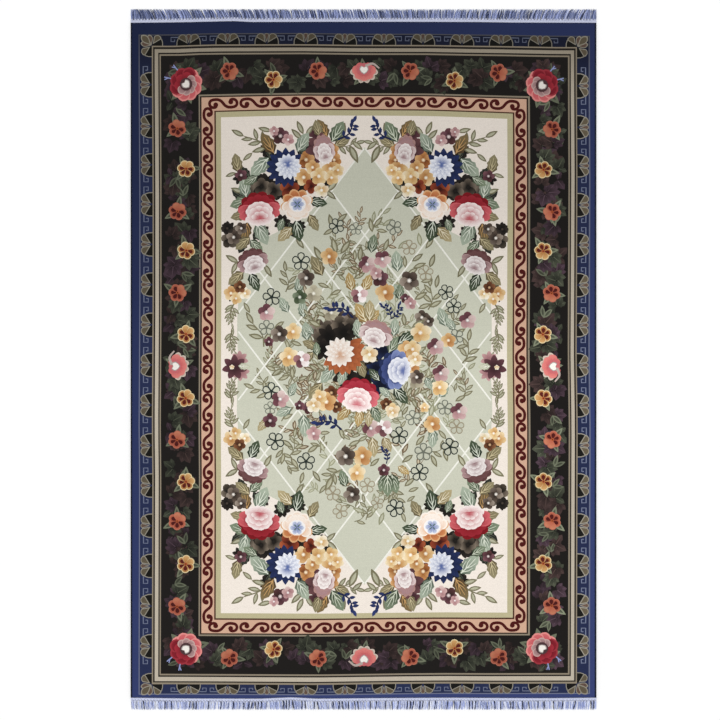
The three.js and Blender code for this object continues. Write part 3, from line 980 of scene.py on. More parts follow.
# %% The climbing flowers
SCATTER = [
    ("spray", "olive", [(-31, 29, 0, 10), (-15.5, 17, 15, 9.5), (-4.5, 33.5, -5, 10), (25, 22, -5, 11.5),
                        (-29.5, -35.5, -15, 9.5), (3, -29.5, 65, 9.5), (-9.5, -41, 135, 10),
                        (-32, -32, -165, 9), (0.5, -60.5, 5, 8.5), (11, -46.5, -160, 10),
                        (21.5, 26, 5, 6.5), (38.5, -12.5, -5, 8.5), (-39.5, 7.5, 25, 12.5),
                        (-27.5, -6, 60, 10.5), (-36, -13, 60, 10.5), (38.5, 1, -15, 11.5)]),
    ("spray", "brown", [(-16.5, -1, 120, 9.5), (16, -12, -75, 8.5), (-2, 35.5, 20, 8.5)]),
    ("open", "olive", [(-12.5, 54, 15, 6), (-12, 54, 120, 5), (-11, 56.5, -50, 5.5), (-16.5, 41, 30, 7),
                       (-11, 44, 15, 7), (-9.5, 44, -35, 7), (-9, 42, -65, 5), (3, 52.5, 10, 6),
                       (3.5, 54.5, -40, 5.5), (4.5, 53.5, -100, 4.5), (-18.5, 32.5, -110, 5),
                       (-7.5, 33.5, 50, 4), (-9, 30, 115, 5), (-2, 41, -5, 6.5), (7.5, 45, -20, 5.5),
                       (16, 38.5, 5, 5), (18.5, 41, -55, 5.5), (19, 38.5, -70, 5.5),
                       (16.5, 35.5, -55, 5.5), (25.5, 38.5, -20, 6), (28, 30.5, -10, 5.5),
                       (19.5, 26, -60, 6), (21, 22.5, -70, 5.5), (35, 12, -60, 5.5), (36, 7, -75, 5),
                       (-31.5, 17.5, 125, 5), (-24.5, 8, 70, 5), (-21, 6.5, 5, 6), (-23, 3.5, 60, 4.5),
                       (-36.5, -4, -55, 5.5), (-13.5, -26, 95, 4.5), (-32.5, -29, -125, 5.5),
                       (-31.5, -34, 165, 5), (-29, -36, -145, 5.5), (-22.5, -34, -55, 5.5),
                       (-25.5, -41, 80, 4.5), (-24, -41.5, 165, 5), (-20.5, -41, -145, 5.5),
                       (-12.5, -43, 155, 7), (-8, -29, 20, 5.5), (-6.5, -31.5, -65, 5.5),
                       (-5.5, -29, 55, 4), (2, -39.5, -50, 5), (15.5, -47.5, -50, 5.5),
                       (17, -49.5, -70, 4.5), (16.5, -53.5, -55, 4), (14.5, -57.5, -160, 4.5),
                       (19, -35, 125, 5.5), (20, -31.5, -40, 5.5), (26, -35, -155, 5.5),
                       (31, -32.5, -165, 5.5), (32, -29, 40, 5), (35.5, -14, -60, 5), (22, 33, -80, 5)]),
    ("open", "pale", [(7, 55, -55, 5), (13, 46, -50, 5.5), (22, 47, 10, 5.5), (0, -57.5, 70, 5),
                      (3, -58.5, -15, 5.5), (7.5, -57.5, 160, 5.5), (19, -21, -60, 5.5),
                      (25.5, -20.5, -15, 6), (-7, -53.5, 50, 4.5)]),
    ("leaf", "olive", [(-16.5, 35.5, 30, 9), (-20, 5.5, 135, 6.5), (-16.5, -6.5, 140, 8.5)]),
    ("leaf", "gold", [(-5, 29.5, 10, 7.5), (-0.5, 29.5, -25, 7.5), (13, -39.5, -125, 5.5)]),
    ("leaf", "tan", [(3, -28, -175, 8), (7.5, -28, -155, 6.5), (-38, -21, 140, 6)]),
    ("leaf", "mist", [(-26, 28.5, -5, 7), (-30, 21, 30, 7), (-24, 19, 5, 7), (13, 37, 5, 8.5),
                      (32, 15.5, 20, 8), (-22.5, 10, 5, 7.5), (-29.5, -12, -25, 6),
                      (-28.5, -16.5, 115, 7), (-24, -19, -175, 9), (27, -25, 175, 7.5),
                      (29.5, -12.5, -35, 6), (14.5, 26, 25, 7), (35.5, 14, 35, 6)]),
    ("leaf", "green", [(2.5, 44.5, -10, 7.5), (-7.5, -47.5, 15, 7), (8.5, -42.5, 160, 7.5),
                       (10.5, -42.5, -165, 8), (9, -42.5, -180, 9), (13.5, 26, -5, 6.5),
                       (26.5, -8, -40, 5.5)]),
    ("ring", "dark", [(-11, 55, 20, 3), (-25, 41, 0, 3.5), (-36.5, 27, 10, 3.5), (32, 29, 20, 3),
                      (35, 23.5, 0, 3), (-36.5, -10, 0, 3.5), (-35, -29.5, 30, 3.5),
                      (-23, -37.5, 0, 3.5), (21.5, -42, 0, 3.5), (12, -56, 20, 3.5),
                      (13.5, -27.5, 0, 3.5), (33.5, -32, 10, 3.5)]),
    ("ring", "grey", [(-3.5, 54, 0, 2.5), (-38.5, 15, 0, 3), (36, 11.5, 20, 3), (31.5, -16.5, 0, 3),
                      (23, -34, 0, 3.5), (19, -20.5, 10, 3), (-37, -16.5, 0, 2.5), (11.5, 54.5, 20, 3)]),
    ("ring", "tan", [(17.5, 46.5, 0, 3), (24, 36.5, 0, 3), (-12.5, -50, 0, 3), (-9.5, -57, 20, 3),
                     (1, -47, 0, 3), (5, -54, 10, 2.5), (36, -24, 0, 3)]),
    ("flower", "ochre", [(-14, 43, 0, 3.5), (8, 29, 10, 4), (-1, -35.5, 0, 4), (26.5, -23, 20, 3.5),
                         (33, 10, 0, 3)]),
    ("flower", "yellow", [(-28, 13.5, 0, 3.5), (-29.5, 3.5, 10, 4), (-3, -42, 0, 3.5),
                          (29.5, -8.5, 0, 3.5), (23, 13, 0, 3.5), (23.5, -16.5, 0, 2), (17, 4.5, 10, 3)]),
    ("flower", "ash", [(-20, 28.5, 0, 3.5)]),
    ("flower", "moss", [(-25.5, 27, 0, 3)]),
    ("flower", "two", [(1, 40, 20, 3.5), (7, 42, -30, 3.5), (-38.5, 21, 0, 3.5), (28, 7.5, 10, 3.5),
                       (-33, -13, 60, 3.5), (37, -18, 0, 3.5), (2.5, -24.5, 30, 3.5), (40.5, 18, 0, 3.5),
                       (30, -3, 0, 3.5)]),
    ("flower", "plum", [(6, 34.5, 0, 3.5), (-37, -21.5, 0, 3), (16, 26.5, 0, 2), (-25.5, -15.5, 0, 2),
                        (-22, -16.5, 20, 2.5), (7.5, -41, 0, 2.5), (-37.5, 9.5, 0, 2)]),
    ("flower", "mauve", [(4.5, 36.5, 20, 2.5), (18, 24.5, 0, 2.5), (-20, -26.5, 0, 3)]),
    ("flower", "white", [(-2, 28, 0, 3.5), (-24.5, 2.5, 10, 3.5), (7.5, -24.5, 30, 3.5)]),
    ("flower", "taupe", [(-23, 34.5, 0, 3.5), (-33.5, 12.5, 0, 3.5), (17.5, 33.5, 30, 4),
                         (22.5, 19, 0, 3), (-7.5, -35.5, 0, 4), (-5, -50.5, 20, 3.5), (25, 17.5, 0, 2.5)]),
    ("sprig", None, [(8.5, -38.5, 5, 6.5)]),
]
FAINT = {"count": 150, "tries": 60, "half width": 41, "half height": 61, "middle": -1.2,
         "bulge": 1.35, "drop": 3}  # a bulge of 1 is a diamond and of 2 an oval


def faint_sprays(rows):
    """Faint sprays, each in the widest gap found among the planted motifs inside the diamond."""
    taken = [spot[:2] for _, _, spots in rows for spot in spots]
    found = []
    for k in range(FAINT["count"]):
        tries = rng.uniform(-1, 1, (FAINT["tries"], 2))
        tries = tries[(np.abs(tries) ** FAINT["bulge"]).sum(1) < 1]
        tries = tries * (FAINT["half width"], FAINT["half height"]) + (0, FAINT["middle"])
        gaps = np.linalg.norm(tries[:, None] - np.array(taken)[None], axis=2).min(1)
        spot = tries[gaps.argmax()]
        taken.append(spot)
        motif = spray(("olive", "pale", "brown")[k % 3], rng.uniform(6.5, 9.5), pairs=1 + k % 2)
        foot = (spot[0], spot[1] - FAINT["drop"])
        found += placed(motif, *foot, rng.uniform(-75, 75), 1.0, rng.uniform(0.9, 1.1))
    return found


ground = [Patch(green_outline(), GREEN), *faint_sprays(SCATTER), *lattice]
climbing = planted(SCATTER)
print(len(ground) + len(climbing), "patches in the ground and the climbing flowers")

# %% [markdown]
# The bunch at the middle
#
# At the middle lies a loose bunch: an ivory dahlia, three peonies, and dark star-shaped leaves that
# make the pale petals stand out. A round medallion could be turned about its centre, but this bunch
# has no such order, so every piece has its own row. The last rows lie on top, so the big blooms end
# the list.

# %% The bunch at the middle
BUNCH = [
    ("flower", "taupe", [(-18, 14.5, 0, 4), (-11, 19, 30, 4), (-6, 18, 0, 3.5)]),
    ("flower", "ash", [(-13, 21, 0, 3.5), (20.5, -6, 0, 3.5)]),
    ("flower", "gloom", [(-14.5, 13.5, 0, 4.5), (-9, 15.5, 20, 4.5), (-5.5, 15, 0, 4),
                         (-16.5, 9.5, 40, 4.5)]),
    ("star", "black", [(-14, 11.5, 0, 5), (-8, 13, 20, 4.5), (-16, 6.5, 0, 4.5), (3, -1.5, 0, 5.5),
                       (-7.5, -3.5, 10, 5.5), (4.5, 5.5, 0, 4.5), (-3.5, 14, 0, 3.5),
                       (0.5, -4.5, 0, 4.5)]),
    ("star", "navy", [(7.5, 6.5, 0, 4.5), (6.5, -7.5, 0, 5), (4.5, -1, 20, 4)]),
    ("spray", "olive", [(-19, 14.5, 30, 7.5), (14, -12, -80, 9.5), (-14.5, -2, 105, 10)]),
    ("open", "olive", [(-17, 15.5, 65, 6), (18.5, 15, -60, 6), (16, 15.5, 10, 5.5), (20, 4.5, -55, 5.5),
                       (23.5, -7, -40, 5), (18.5, -13, -150, 4.5)]),
    ("leaf", "gold", [(1, 17, 30, 9), (1.5, 17, -40, 6.5), (-5.5, -16, 135, 7.5), (-1.5, -17, 170, 7)]),
    ("leaf", "tan", [(2, 17.5, 0, 8.5), (2, -17.5, 175, 6.5)]),
    ("leaf", "olive", [(-2.5, 2.5, -160, 7.5), (-16.5, -6.5, 140, 8), (-18.5, 7, 65, 6.5)]),
    ("leaf", "mist", [(-2, 11, 10, 7.5), (-12, -0.5, 140, 8), (-7.5, -1, 160, 7), (11.5, 11.5, -5, 7.5),
                      (-20, 12.5, 45, 5.5), (10, -12, 50, 5.5), (24, -4.5, -155, 5.5)]),
    ("leaf", "green", [(-18.5, 4, 5, 5.5), (9.5, 5, -30, 7.5), (3, -16, -155, 7)]),
    ("leaf", "dark", [(13, 8.5, -55, 8.5), (11.5, -8.5, -140, 8.5), (6, -6, 40, 6.5)]),
    ("flower", "bark", [(-13, -10.5, 0, 3), (-11, -16, 20, 2.5), (8.5, -15, 0, 2.5)]),
    ("flower", "ochre", [(-15, -14, 0, 4), (18.5, 0, 20, 3.5), (16.5, 6.5, 0, 3.5)]),
    ("flower", "yellow", [(-17.5, -12, 20, 3), (19, 6.5, 0, 3.5), (22, 13, 10, 4), (11, -17.5, 0, 3)]),
    ("flower", "cream", [(-20, -15.5, 0, 3), (20, 2.5, 0, 3), (11, -18.5, 20, 2.5)]),
    ("flower", "taupe", [(20.5, -4.5, 0, 3)]),
    ("sprig", None, [(-4.5, 19, 60, 11), (10.5, 18.5, 25, 7), (10.5, 18.5, -40, 7), (-9, -25, 65, 11)]),
    ("ivory dahlia", None, [(-8.5, 5.5, 0, 7.5)]),
    ("peony", "blush", [(4.5, 12.5, -20, 6.5)]),
    ("flower", "cream", [(2, 4.5, 0, 3.5)]),
    ("peony", "blue", [(12, -1.5, 82, 7.5)]),
    ("peony", "rose", [(-2.5, -11.5, -8, 8)]),
]
bunch = planted(BUNCH)
print(len(bunch), "patches in the bunch")

# %% [markdown]
# Weaving the pattern
#
# On the loom the flowers aren't laid over each other: every knot has one colour. So the overlapping
# patches become one flat face. All outlines are laid on the cloth and cut into triangles, and each
# triangle belongs to the topmost patch over its middle. Many edges now lie hidden under other
# patches. Only those where two patches meet are kept, nearly straight runs lose their middle points,
# and the face is cut a second time, so hidden outlines cost nothing. Each triangle's corners then
# take the patch's colour. Stacking thin sheets of colour would be simpler, but a pile is one surface.

# %% Laying the patches on the cloth
CLOSE = 0.002  # points nearer than this become one
SLACK = 0.02  # how far a point may lie off a straight line and still be dropped
PASSES = 3  # each pass drops at most every second point of a run
ordered = [navy_cloth(), *bands, *fan_band(), *scroll_band(), *dark_border]
ordered += placed(ground + climbing + corner_bouquets + bunch, *FIELD_MIDDLE)
for patch in ordered[1:]:
    patch.outline = drifted(patch.outline)
    patch.span = drifted(patch.span)
print(len(ordered), "patches,", sum(len(p.outline) for p in ordered), "outline points")


def cut_cloth(points, edges):
    """Points and triangles of the cloth's face, cut along the edges."""
    found = delaunay_2d_cdt([Vector(p) for p in points], edges, [], 0, CLOSE, False)
    return np.array([tuple(p) for p in found[0]]), np.array(found[2])


def all_edges(patches):
    """Every outline's edges, as numbers of the points stacked in order."""
    edges, first = [], 0
    for p in patches:
        n = len(p.outline)
        edges += [(first + k, first + (k + 1) % n) for k in range(n)]
        first += n
    return edges


def topmost(patches, centres):
    """For each centre, the number of the last patch over it, or -1 off the cloth."""
    order = np.argsort(centres[:, 0])
    sorted_x = centres[order, 0]
    top = np.full(len(centres), -1)
    for k, p in enumerate(patches):
        low, high = p.outline.min(0), p.outline.max(0)
        near = order[slice(*np.searchsorted(sorted_x, (low[0], high[0])))]
        near = near[(centres[near, 1] > low[1]) & (centres[near, 1] < high[1])]
        top[near[inside(centres[near], p.outline)]] = k
    top[~inside(centres, patches[0].outline)] = -1
    return top


def seen_edges(cuts, owner):
    """The edges between triangles of different patches, and those at the cloth's rim."""
    sides = np.sort(np.concatenate([cuts[:, [0, 1]], cuts[:, [1, 2]], cuts[:, [2, 0]]]), 1)
    which = np.tile(owner, 3)
    order = np.lexsort(sides.T)
    sides, which = sides[order], which[order]
    first = np.flatnonzero(np.r_[True, (sides[1:] != sides[:-1]).any(1)])
    last = np.r_[first[1:], len(sides)] - 1
    return sides[first[(which[first] != which[last]) | (first == last)]]


def straightened(points, edges):
    """The edges without the points that lie almost on a line between their two neighbours."""
    near, place = {}, points.tolist()
    for a, b in edges.tolist():
        near.setdefault(a, set()).add(b)
        near.setdefault(b, set()).add(a)
    kept = set()
    for p in list(near):
        if len(near[p]) == 2 and p not in kept:
            a, b = near[p]
            (ax, ay), (bx, by), (x, y) = place[a], place[b], place[p]
            reach = max(1e-6, math.hypot(bx - ax, by - ay))
            off = abs((x - ax) * (by - ay) - (y - ay) * (bx - ax)) / reach
            if off < SLACK and b not in near[a]:
                near[a] = near[a] - {p} | {b}
                near[b] = near[b] - {p} | {a}
                del near[p]
                kept |= {a, b}
    return np.array([(a, b) for a in near for b in near[a] if a < b])


flat, cuts = cut_cloth(np.vstack([p.outline for p in ordered]), all_edges(ordered))
owner = topmost(ordered, flat[cuts].mean(1))
print(len(cuts), "triangles with every outline")
seen = seen_edges(cuts[owner >= 0], owner[owner >= 0])
for _ in range(PASSES):
    seen = straightened(flat, seen)
used, small = np.unique(seen, return_inverse=True)
flat, cuts = cut_cloth(flat[used], small.reshape(seen.shape).tolist())
owner = topmost(ordered, flat[cuts].mean(1))
cuts, owner = cuts[owner >= 0], owner[owner >= 0]
yarn = np.zeros((len(cuts), 3, 3))
for k in np.unique(owner):
    yarn[owner == k] = ordered[k].colour_at(flat[cuts[owner == k]])
print(len(cuts), "triangles on the face")

# %% [markdown]
# The pile and the back
#
# The face stays flat, as a clipped pile is: colour alone never raises it. Round the rim the pile
# rolls down to the foundation, and on the underside the same knots show as a mirrored, duller
# pattern. The cloth could be one closed shell, but pile and back look and feel different. So the one
# cut face is used twice, and each copy carries its rim through a few levels to meet the other.

# %% The pile and the back
PILE_RIM = [(0, THICK), (0.07, 0.685), (0.14, 0.635), (RIM_OUT, 0.53), (RIM_OUT, FOUNDATION)]
BACK_RIM = [(0.08, 0), (0.15, 0.08), (RIM_OUT, FOUNDATION)]
NEAR_RIM = {"side": 0.25, "end": 0.3}  # points this close to the cloth's edge belong to its rim
MAP_MARGIN = 0.001


def outward(points):
    """Which way the cloth's rim faces at each point near it."""
    x, y = points.T
    off_side = np.abs(x) > SIDE - NEAR_RIM["side"]
    off_end = y > cloth_edge("top", x) - NEAR_RIM["end"]
    off_end |= y < cloth_edge("bottom", x) + NEAR_RIM["end"]
    return np.stack([np.sign(x) * off_side, np.sign(y) * off_end], 1)


def cloth_mesh(name, levels, colours, under=False):
    """The cut face with its rim carried through levels, each (out, z) in cm."""
    used, small = np.unique(cuts, return_inverse=True)
    small = small.reshape(cuts.shape)
    points = flat[used]
    sides = np.concatenate([small[:, [0, 1]], small[:, [1, 2]], small[:, [2, 0]]])
    low_first = np.sort(sides, 1)
    _, first_seen, times = np.unique(low_first, axis=0, return_index=True, return_counts=True)
    rim = sides[first_seen[times == 1]]
    on_rim = np.unique(rim)
    way = outward(points[on_rim])
    place = np.column_stack([points, np.full(len(points), levels[0][1])])
    place[on_rim, :2] += way * levels[0][0]
    rings, faces = [place], [small]
    last = np.arange(len(points))
    for out, z in levels[1:]:
        step = len(points) + len(on_rim) * (len(rings) - 1)
        here = np.full(len(points), -1)
        here[on_rim] = step + np.arange(len(on_rim))
        rings.append(np.column_stack([points[on_rim] + way * out, np.full(len(on_rim), z)]))
        a, b = rim.T
        faces.append(np.column_stack([last[b], last[a], here[a]]))
        faces.append(np.column_stack([last[b], here[a], here[b]]))
        last = here
    faces = np.vstack(faces)
    if under:
        faces = faces[:, ::-1]
    count = len(small)
    edge_yarn = np.broadcast_to(silk(NAVY["dull"]), (len(faces) - count, 3, 3))
    face_yarn = colours[:, ::-1] if under else colours
    every_yarn = np.concatenate([face_yarn, edge_yarn])
    return made_mesh(name, np.vstack(rings) * CM, faces, every_yarn, count)


def made_mesh(name, points, faces, corner_yarn=None, flat_count=0):
    """A mesh object, smooth but for its first flat_count faces, with its corner colours if given."""
    mesh = bpy.data.meshes.new(name)
    mesh.from_pydata(points.tolist(), [], faces.tolist())
    if corner_yarn is not None:
        rgba = np.ones((corner_yarn.shape[0] * corner_yarn.shape[1], 4), np.float32)
        rgba[:, :3] = corner_yarn.reshape(-1, 3)
        dyes = mesh.color_attributes.new("yarn", "FLOAT_COLOR", "CORNER")
        dyes.data.foreach_set("color", rgba.ravel())
    smooth = np.ones(len(mesh.polygons), bool)
    smooth[:flat_count] = False
    mesh.polygons.foreach_set("use_smooth", smooth)
    piece = bpy.data.objects.new(name, mesh)
    bpy.context.scene.collection.objects.link(piece)
    return piece


def plan_map(piece):
    """Spreads the piece's plan view over the whole of a square map."""
    mesh = piece.data
    corner = np.empty(len(mesh.loops), int)
    mesh.loops.foreach_get("vertex_index", corner)
    place = np.empty(len(mesh.vertices) * 3)
    mesh.vertices.foreach_get("co", place)
    plan = place.reshape(-1, 3)[:, :2]
    low, high = plan.min(0), plan.max(0)
    share = (plan - low) / (high - low) * (1 - 2 * MAP_MARGIN) + MAP_MARGIN
    mesh.uv_layers.new(name="OFBake").data.foreach_set("uv", share[corner].ravel())


pile = cloth_mesh("carpet_pile", PILE_RIM, yarn)
back = cloth_mesh("carpet_back", BACK_RIM, yarn, under=True)
for cloth in (pile, back):
    plan_map(cloth)
print("pile", len(pile.data.polygons), "faces, back", len(back.data.polygons))

# %% [markdown]
# Cords and fringes
#
# Down each side the outer warps are wound over with dark silk into a firm cord. At each end the
# warps run out of the pile through a narrow plain-woven band, are knotted in bundles, and lie on the
# floor as a fringe. Hair particles could make the threads, but plain tubes are exact about where each
# thread starts and ends. The strands lean and clump as they were last brushed, so their lean is read
# from a short table and each strand strays by a little of its own.

# %% Cords and fringes
CORD = {"wide": 0.55, "high": 0.64, "turn": 0.30, "swell": 0.07}
BUNDLES = {"count": 150, "threads": 8, "band": 1.2, "gap": 0.03, "spread": 0.9, "fan": 0.6}
WITHIN = {"tips": 91.0, "threads": 91.4}  # no strand strays past this x
STRAY = {"tip": 0.09, "short": 0.45, "wave": 0.06, "lift": 0.12, "fall": 0.22}
SHADOW = {"from": 0.1, "fatter": 1.1, "lift": 0.2}  # dark threads between some of the lower bundles
# painted shade between the threads: the top's threads are picked from darker yarns than the bottom's
FRINGE = {  # yarn is the usual place in THREAD_YARNS and how far it varies
    "top": {"sign": 1, "reach": 5.1, "seed": 11, "yarn": (2.3, 1.0),
            "lean": [(-91.5, 0), (-85, -24), (-50, -20), (-18, -12), (10, -16), (33, 8), (62, 14),
                     (85, 22), (91.5, 0)]},
    "bottom": {"sign": -1, "reach": 4.9, "seed": 12, "yarn": (4.3, 1.2),
               "lean": [(-91.5, 0), (-85, 7), (-56, -5), (-15, 6), (26, -4), (60, 8), (85, -7),
                        (91.5, 0)]},
}
THREAD_YARNS = ["1f2846", "4f597e", "7e89b2", "a6b2e2", "cad5fb", "edf1ff"]
KNOT_YARN = "c3c8de"
THREAD_RADII = np.array([0.12, 0.12, 0.115, 0.105, 0.095, 0.05])  # from the knot to the tip
KNOT_RADII = np.array([0.16, 0.36, 0.46, 0.36, 0.2])
KNOT = {"behind": 0.4, "ahead": 0.5, "rise": 0.34, "squash": 0.72}


def tube(path, radii, sides=5, squash=1.0):
    """Points and faces of an open tube along a path."""
    way = np.gradient(path, axis=0)
    way /= np.linalg.norm(way, axis=1, keepdims=True)
    side = np.cross(way, (0, 0, 1))
    side /= np.linalg.norm(side, axis=1, keepdims=True)
    up = np.cross(side, way)
    a = np.linspace(0, 2 * np.pi, sides, endpoint=False)
    ring = side[:, None] * np.cos(a)[None, :, None] + up[:, None] * np.sin(a)[None, :, None] * squash
    points = (path[:, None] + ring * np.asarray(radii)[:, None, None]).reshape(-1, 3)
    rows = np.arange(len(path) - 1)[:, None] * sides
    k = np.arange(sides)
    n = (k + 1) % sides
    quads = np.stack([rows + k, rows + k + sides, rows + n + sides, rows + n], -1).reshape(-1, 4)
    return points, quads


def joined(parts):
    """Many tubes as one mesh's points, faces and each face's part."""
    points, faces, part, first = [], [], [], 0
    for k, (p, f) in enumerate(parts):
        points.append(p)
        faces.append(f + first)
        part.append(np.full(len(f), k))
        first += len(p)
    return np.vstack(points), np.vstack(faces), np.concatenate(part)


def side_cord(name, sign):
    """A cord of wound yarn: each turn of the winding swells a little."""
    x = sign * (HALF_WIDE - CORD["wide"] / 2)
    first, last = cloth_edge("bottom", x), cloth_edge("top", x)
    n = round((last - first) / CORD["turn"]) * 2 + 1
    y = np.linspace(first, last, n)
    path = np.column_stack([np.full(n, x), y, np.full(n, CORD["high"] / 2)])
    swell = CORD["wide"] / 2 * (1 - CORD["swell"] * (np.arange(n) % 2))
    points, quads = tube(path, swell, sides=8, squash=CORD["high"] / CORD["wide"])
    return made_mesh(name, points * CM, quads)


def scatter(k, salt):
    """A repeatable number from -1 to 1, so that neighbouring strands differ."""
    wide = math.sin(k * 127.1 + salt * 311.7) * 43758.5453
    return 2 * (wide - math.floor(wide)) - 1


def bundle_ends(end):
    """For each bundle, x and y at its knot, x at its tip and the y it reaches."""
    row = FRINGE[end]
    pitch = 2 * HALF_WIDE / BUNDLES["count"]
    for k in range(BUNDLES["count"]):
        x = -HALF_WIDE + pitch * (k + 0.5)
        y = cloth_edge(end, x) + row["sign"] * (BUNDLES["gap"] + BUNDLES["band"])
        tip = STRAIGHT_EDGE[end] + row["sign"] * row["reach"]
        lean = math.tan(math.radians(np.interp(x, *np.transpose(row["lean"]))))
        swing = lean * abs(tip - y) - (k % 4 - 1.5) * pitch * 0.15 + scatter(k, 5) * 0.1
        yield k, x, y, float(np.clip(x + swing, -WITHIN["tips"], WITHIN["tips"])), tip


def knot(x, y, sign):
    """A round knot at a bundle's head."""
    along = y + np.linspace(-KNOT["behind"], KNOT["ahead"], 5) * sign
    path = np.column_stack([np.full(5, x), along, np.full(5, KNOT["rise"])])
    return tube(path, KNOT_RADII, sides=8, squash=KNOT["squash"])


def fringe(end):
    """The strands of one end, each bundle a knot and its threads fanning out over the floor."""
    row, threads, dyes = FRINGE[end], [], []
    local = np.random.default_rng(row["seed"])
    t = np.linspace(0, 1, 6)
    for k, x, y, tip_x, tip_y in bundle_ends(end):
        for j in range(BUNDLES["threads"]):
            spread = (j + 0.5) / BUNDLES["threads"] - 0.5
            stray = local.normal(0, STRAY["tip"], 2)
            far = tip_y - row["sign"] * (0.0 if j % 3 == 0 else local.uniform(0, STRAY["short"]))
            lean = tip_x - x + spread * BUNDLES["fan"] + stray[0]
            px = x + spread * BUNDLES["spread"] + lean * t**1.4
            px += STRAY["wave"] * np.sin(t * 9 + j * 2 + k)
            px = np.clip(px, -WITHIN["threads"], WITHIN["threads"])
            py = y + (far - y) * t
            pick = np.clip(local.normal(*row["yarn"]), 0, len(THREAD_YARNS) - 1)
            radii, lift = THREAD_RADII, STRAY["lift"] * (j % 2)
            if end == "bottom" and j < 2 and scatter(k, 9) > SHADOW["from"]:
                pick, radii, lift = 0, THREAD_RADII * SHADOW["fatter"], SHADOW["lift"]
            pz = radii + lift + STRAY["fall"] * (1 - t) ** 2
            threads.append(tube(np.column_stack([px, py, pz]), radii))
            dyes.append(silk(THREAD_YARNS[int(pick)]) * local.uniform(0.85, 1.1))
        threads.append(knot(x, y, row["sign"]))
        dyes.append(silk(KNOT_YARN) * local.uniform(0.85, 1.08))
    points, quads, part = joined(threads)
    shades = np.array(dyes)[part][:, None].repeat(4, 1)
    return made_mesh(f"fringe_{end}_strands", points * CM, quads, shades)


BAND_PROFILE = [(0, 0.02), (0, 0.24), (0.25, 0.3), (0.6, 0.32), (0.95, 0.3), (1.2, 0.24), (1.2, 0.02)]


def end_band(end):
    """The plain-woven band between pile and knots, a little crowned."""
    sign = FRINGE[end]["sign"]
    x = np.linspace(-HALF_WIDE, HALF_WIDE, 184)
    edge = cloth_edge(end, x) + sign * BUNDLES["gap"]
    points = np.array([[(a, e + sign * out, z) for out, z in BAND_PROFILE] for a, e in zip(x, edge)])
    m = len(BAND_PROFILE)
    rows = np.arange(len(x) - 1)[:, None] * m
    k = np.arange(m)
    n = (k + 1) % m
    quads = np.stack([rows + k, rows + n, rows + n + m, rows + k + m], -1).reshape(-1, 4)
    if sign > 0:
        quads = quads[:, ::-1]
    return made_mesh(f"fringe_{end}_band", points.reshape(-1, 3) * CM, quads)


cords = [side_cord("side_cord_left_yarn", -1), side_cord("side_cord_right_yarn", 1)]
strands = {end: fringe(end) for end in FRINGE}
end_bands = {end: end_band(end) for end in FRINGE}
print("cords", len(cords), "strand faces", [len(s.data.polygons) for s in strands.values()])

# %% [markdown]
# Yarns
#
# The pile is cut silk: fine knots, and a nap that leans one way, so that the silk shines at one end of
# the rug and darkens towards the other, and that shine and shade are painted into the yarn's colour.
# The knots are far too small to model one by one, so a shader group gives their grain as height and
# speckle. A second group paints the nap's sheen and shade: soft clouds, thin streaks along the rows,
# and the slow fall from the light end to the dark end. A third mixes both into a yarn's colour, and a
# fourth is fine twisted thread. As groups they are written once and serve the pile, the back, the
# cords and the fringes with different numbers.

# %% Shader groups


def shader_group(name, inputs, outputs):
    """A new group with named sockets; gives its tree and its two ends."""
    tree = bpy.data.node_groups.new(name, "ShaderNodeTree")
    for label, value in inputs:
        kind = "NodeSocketColor" if isinstance(value, tuple) else "NodeSocketFloat"
        tree.interface.new_socket(label, in_out="INPUT", socket_type=kind).default_value = value
    for label, kind in outputs:
        tree.interface.new_socket(label, in_out="OUTPUT", socket_type=kind)
    return tree, tree.nodes.new("NodeGroupInput").outputs, tree.nodes.new("NodeGroupOutput").inputs


def node(tree, kind, inputs=(), **settings):
    """A node with its settings made and its inputs set or linked."""
    made = tree.nodes.new(kind)
    for key, value in settings.items():
        setattr(made, key, value)
    for key, value in dict(inputs).items():
        if isinstance(value, bpy.types.NodeSocket):
            tree.links.new(value, made.inputs[key])
        else:
            made.inputs[key].default_value = value
    return made


def maths(tree, operation, a, b=0.0, c=0.0):
    """One sum on numbers or sockets; gives its result's socket."""
    return node(tree, "ShaderNodeMath", {0: a, 1: b, 2: c}, operation=operation).outputs[0]


def knots_group():
    """Rows of knots: a bump for each knot, and a speckle of lighter and darker tufts."""
    tree, given, result = shader_group(
        "Knots", [("Knots per metre", 700.0), ("Tuft scatter", 0.5)],
        [("Height", "NodeSocketFloat"), ("Speckle", "NodeSocketFloat")])
    place = node(tree, "ShaderNodeTexCoord").outputs["Object"]
    cells = node(tree, "ShaderNodeTexVoronoi", {"Vector": place, "Scale": given[0], "Randomness": given[1]})
    height = maths(tree, "SUBTRACT", 1.0, cells.outputs["Distance"])
    speckle = node(tree, "ShaderNodeSeparateColor", {"Color": cells.outputs["Color"]}).outputs[0]
    tree.links.new(height, result["Height"])
    tree.links.new(speckle, result["Speckle"])
    return tree


NAP_TURNS = {"From Min": -0.2, "From Max": 0.75}  # metres along the rug from light to dark


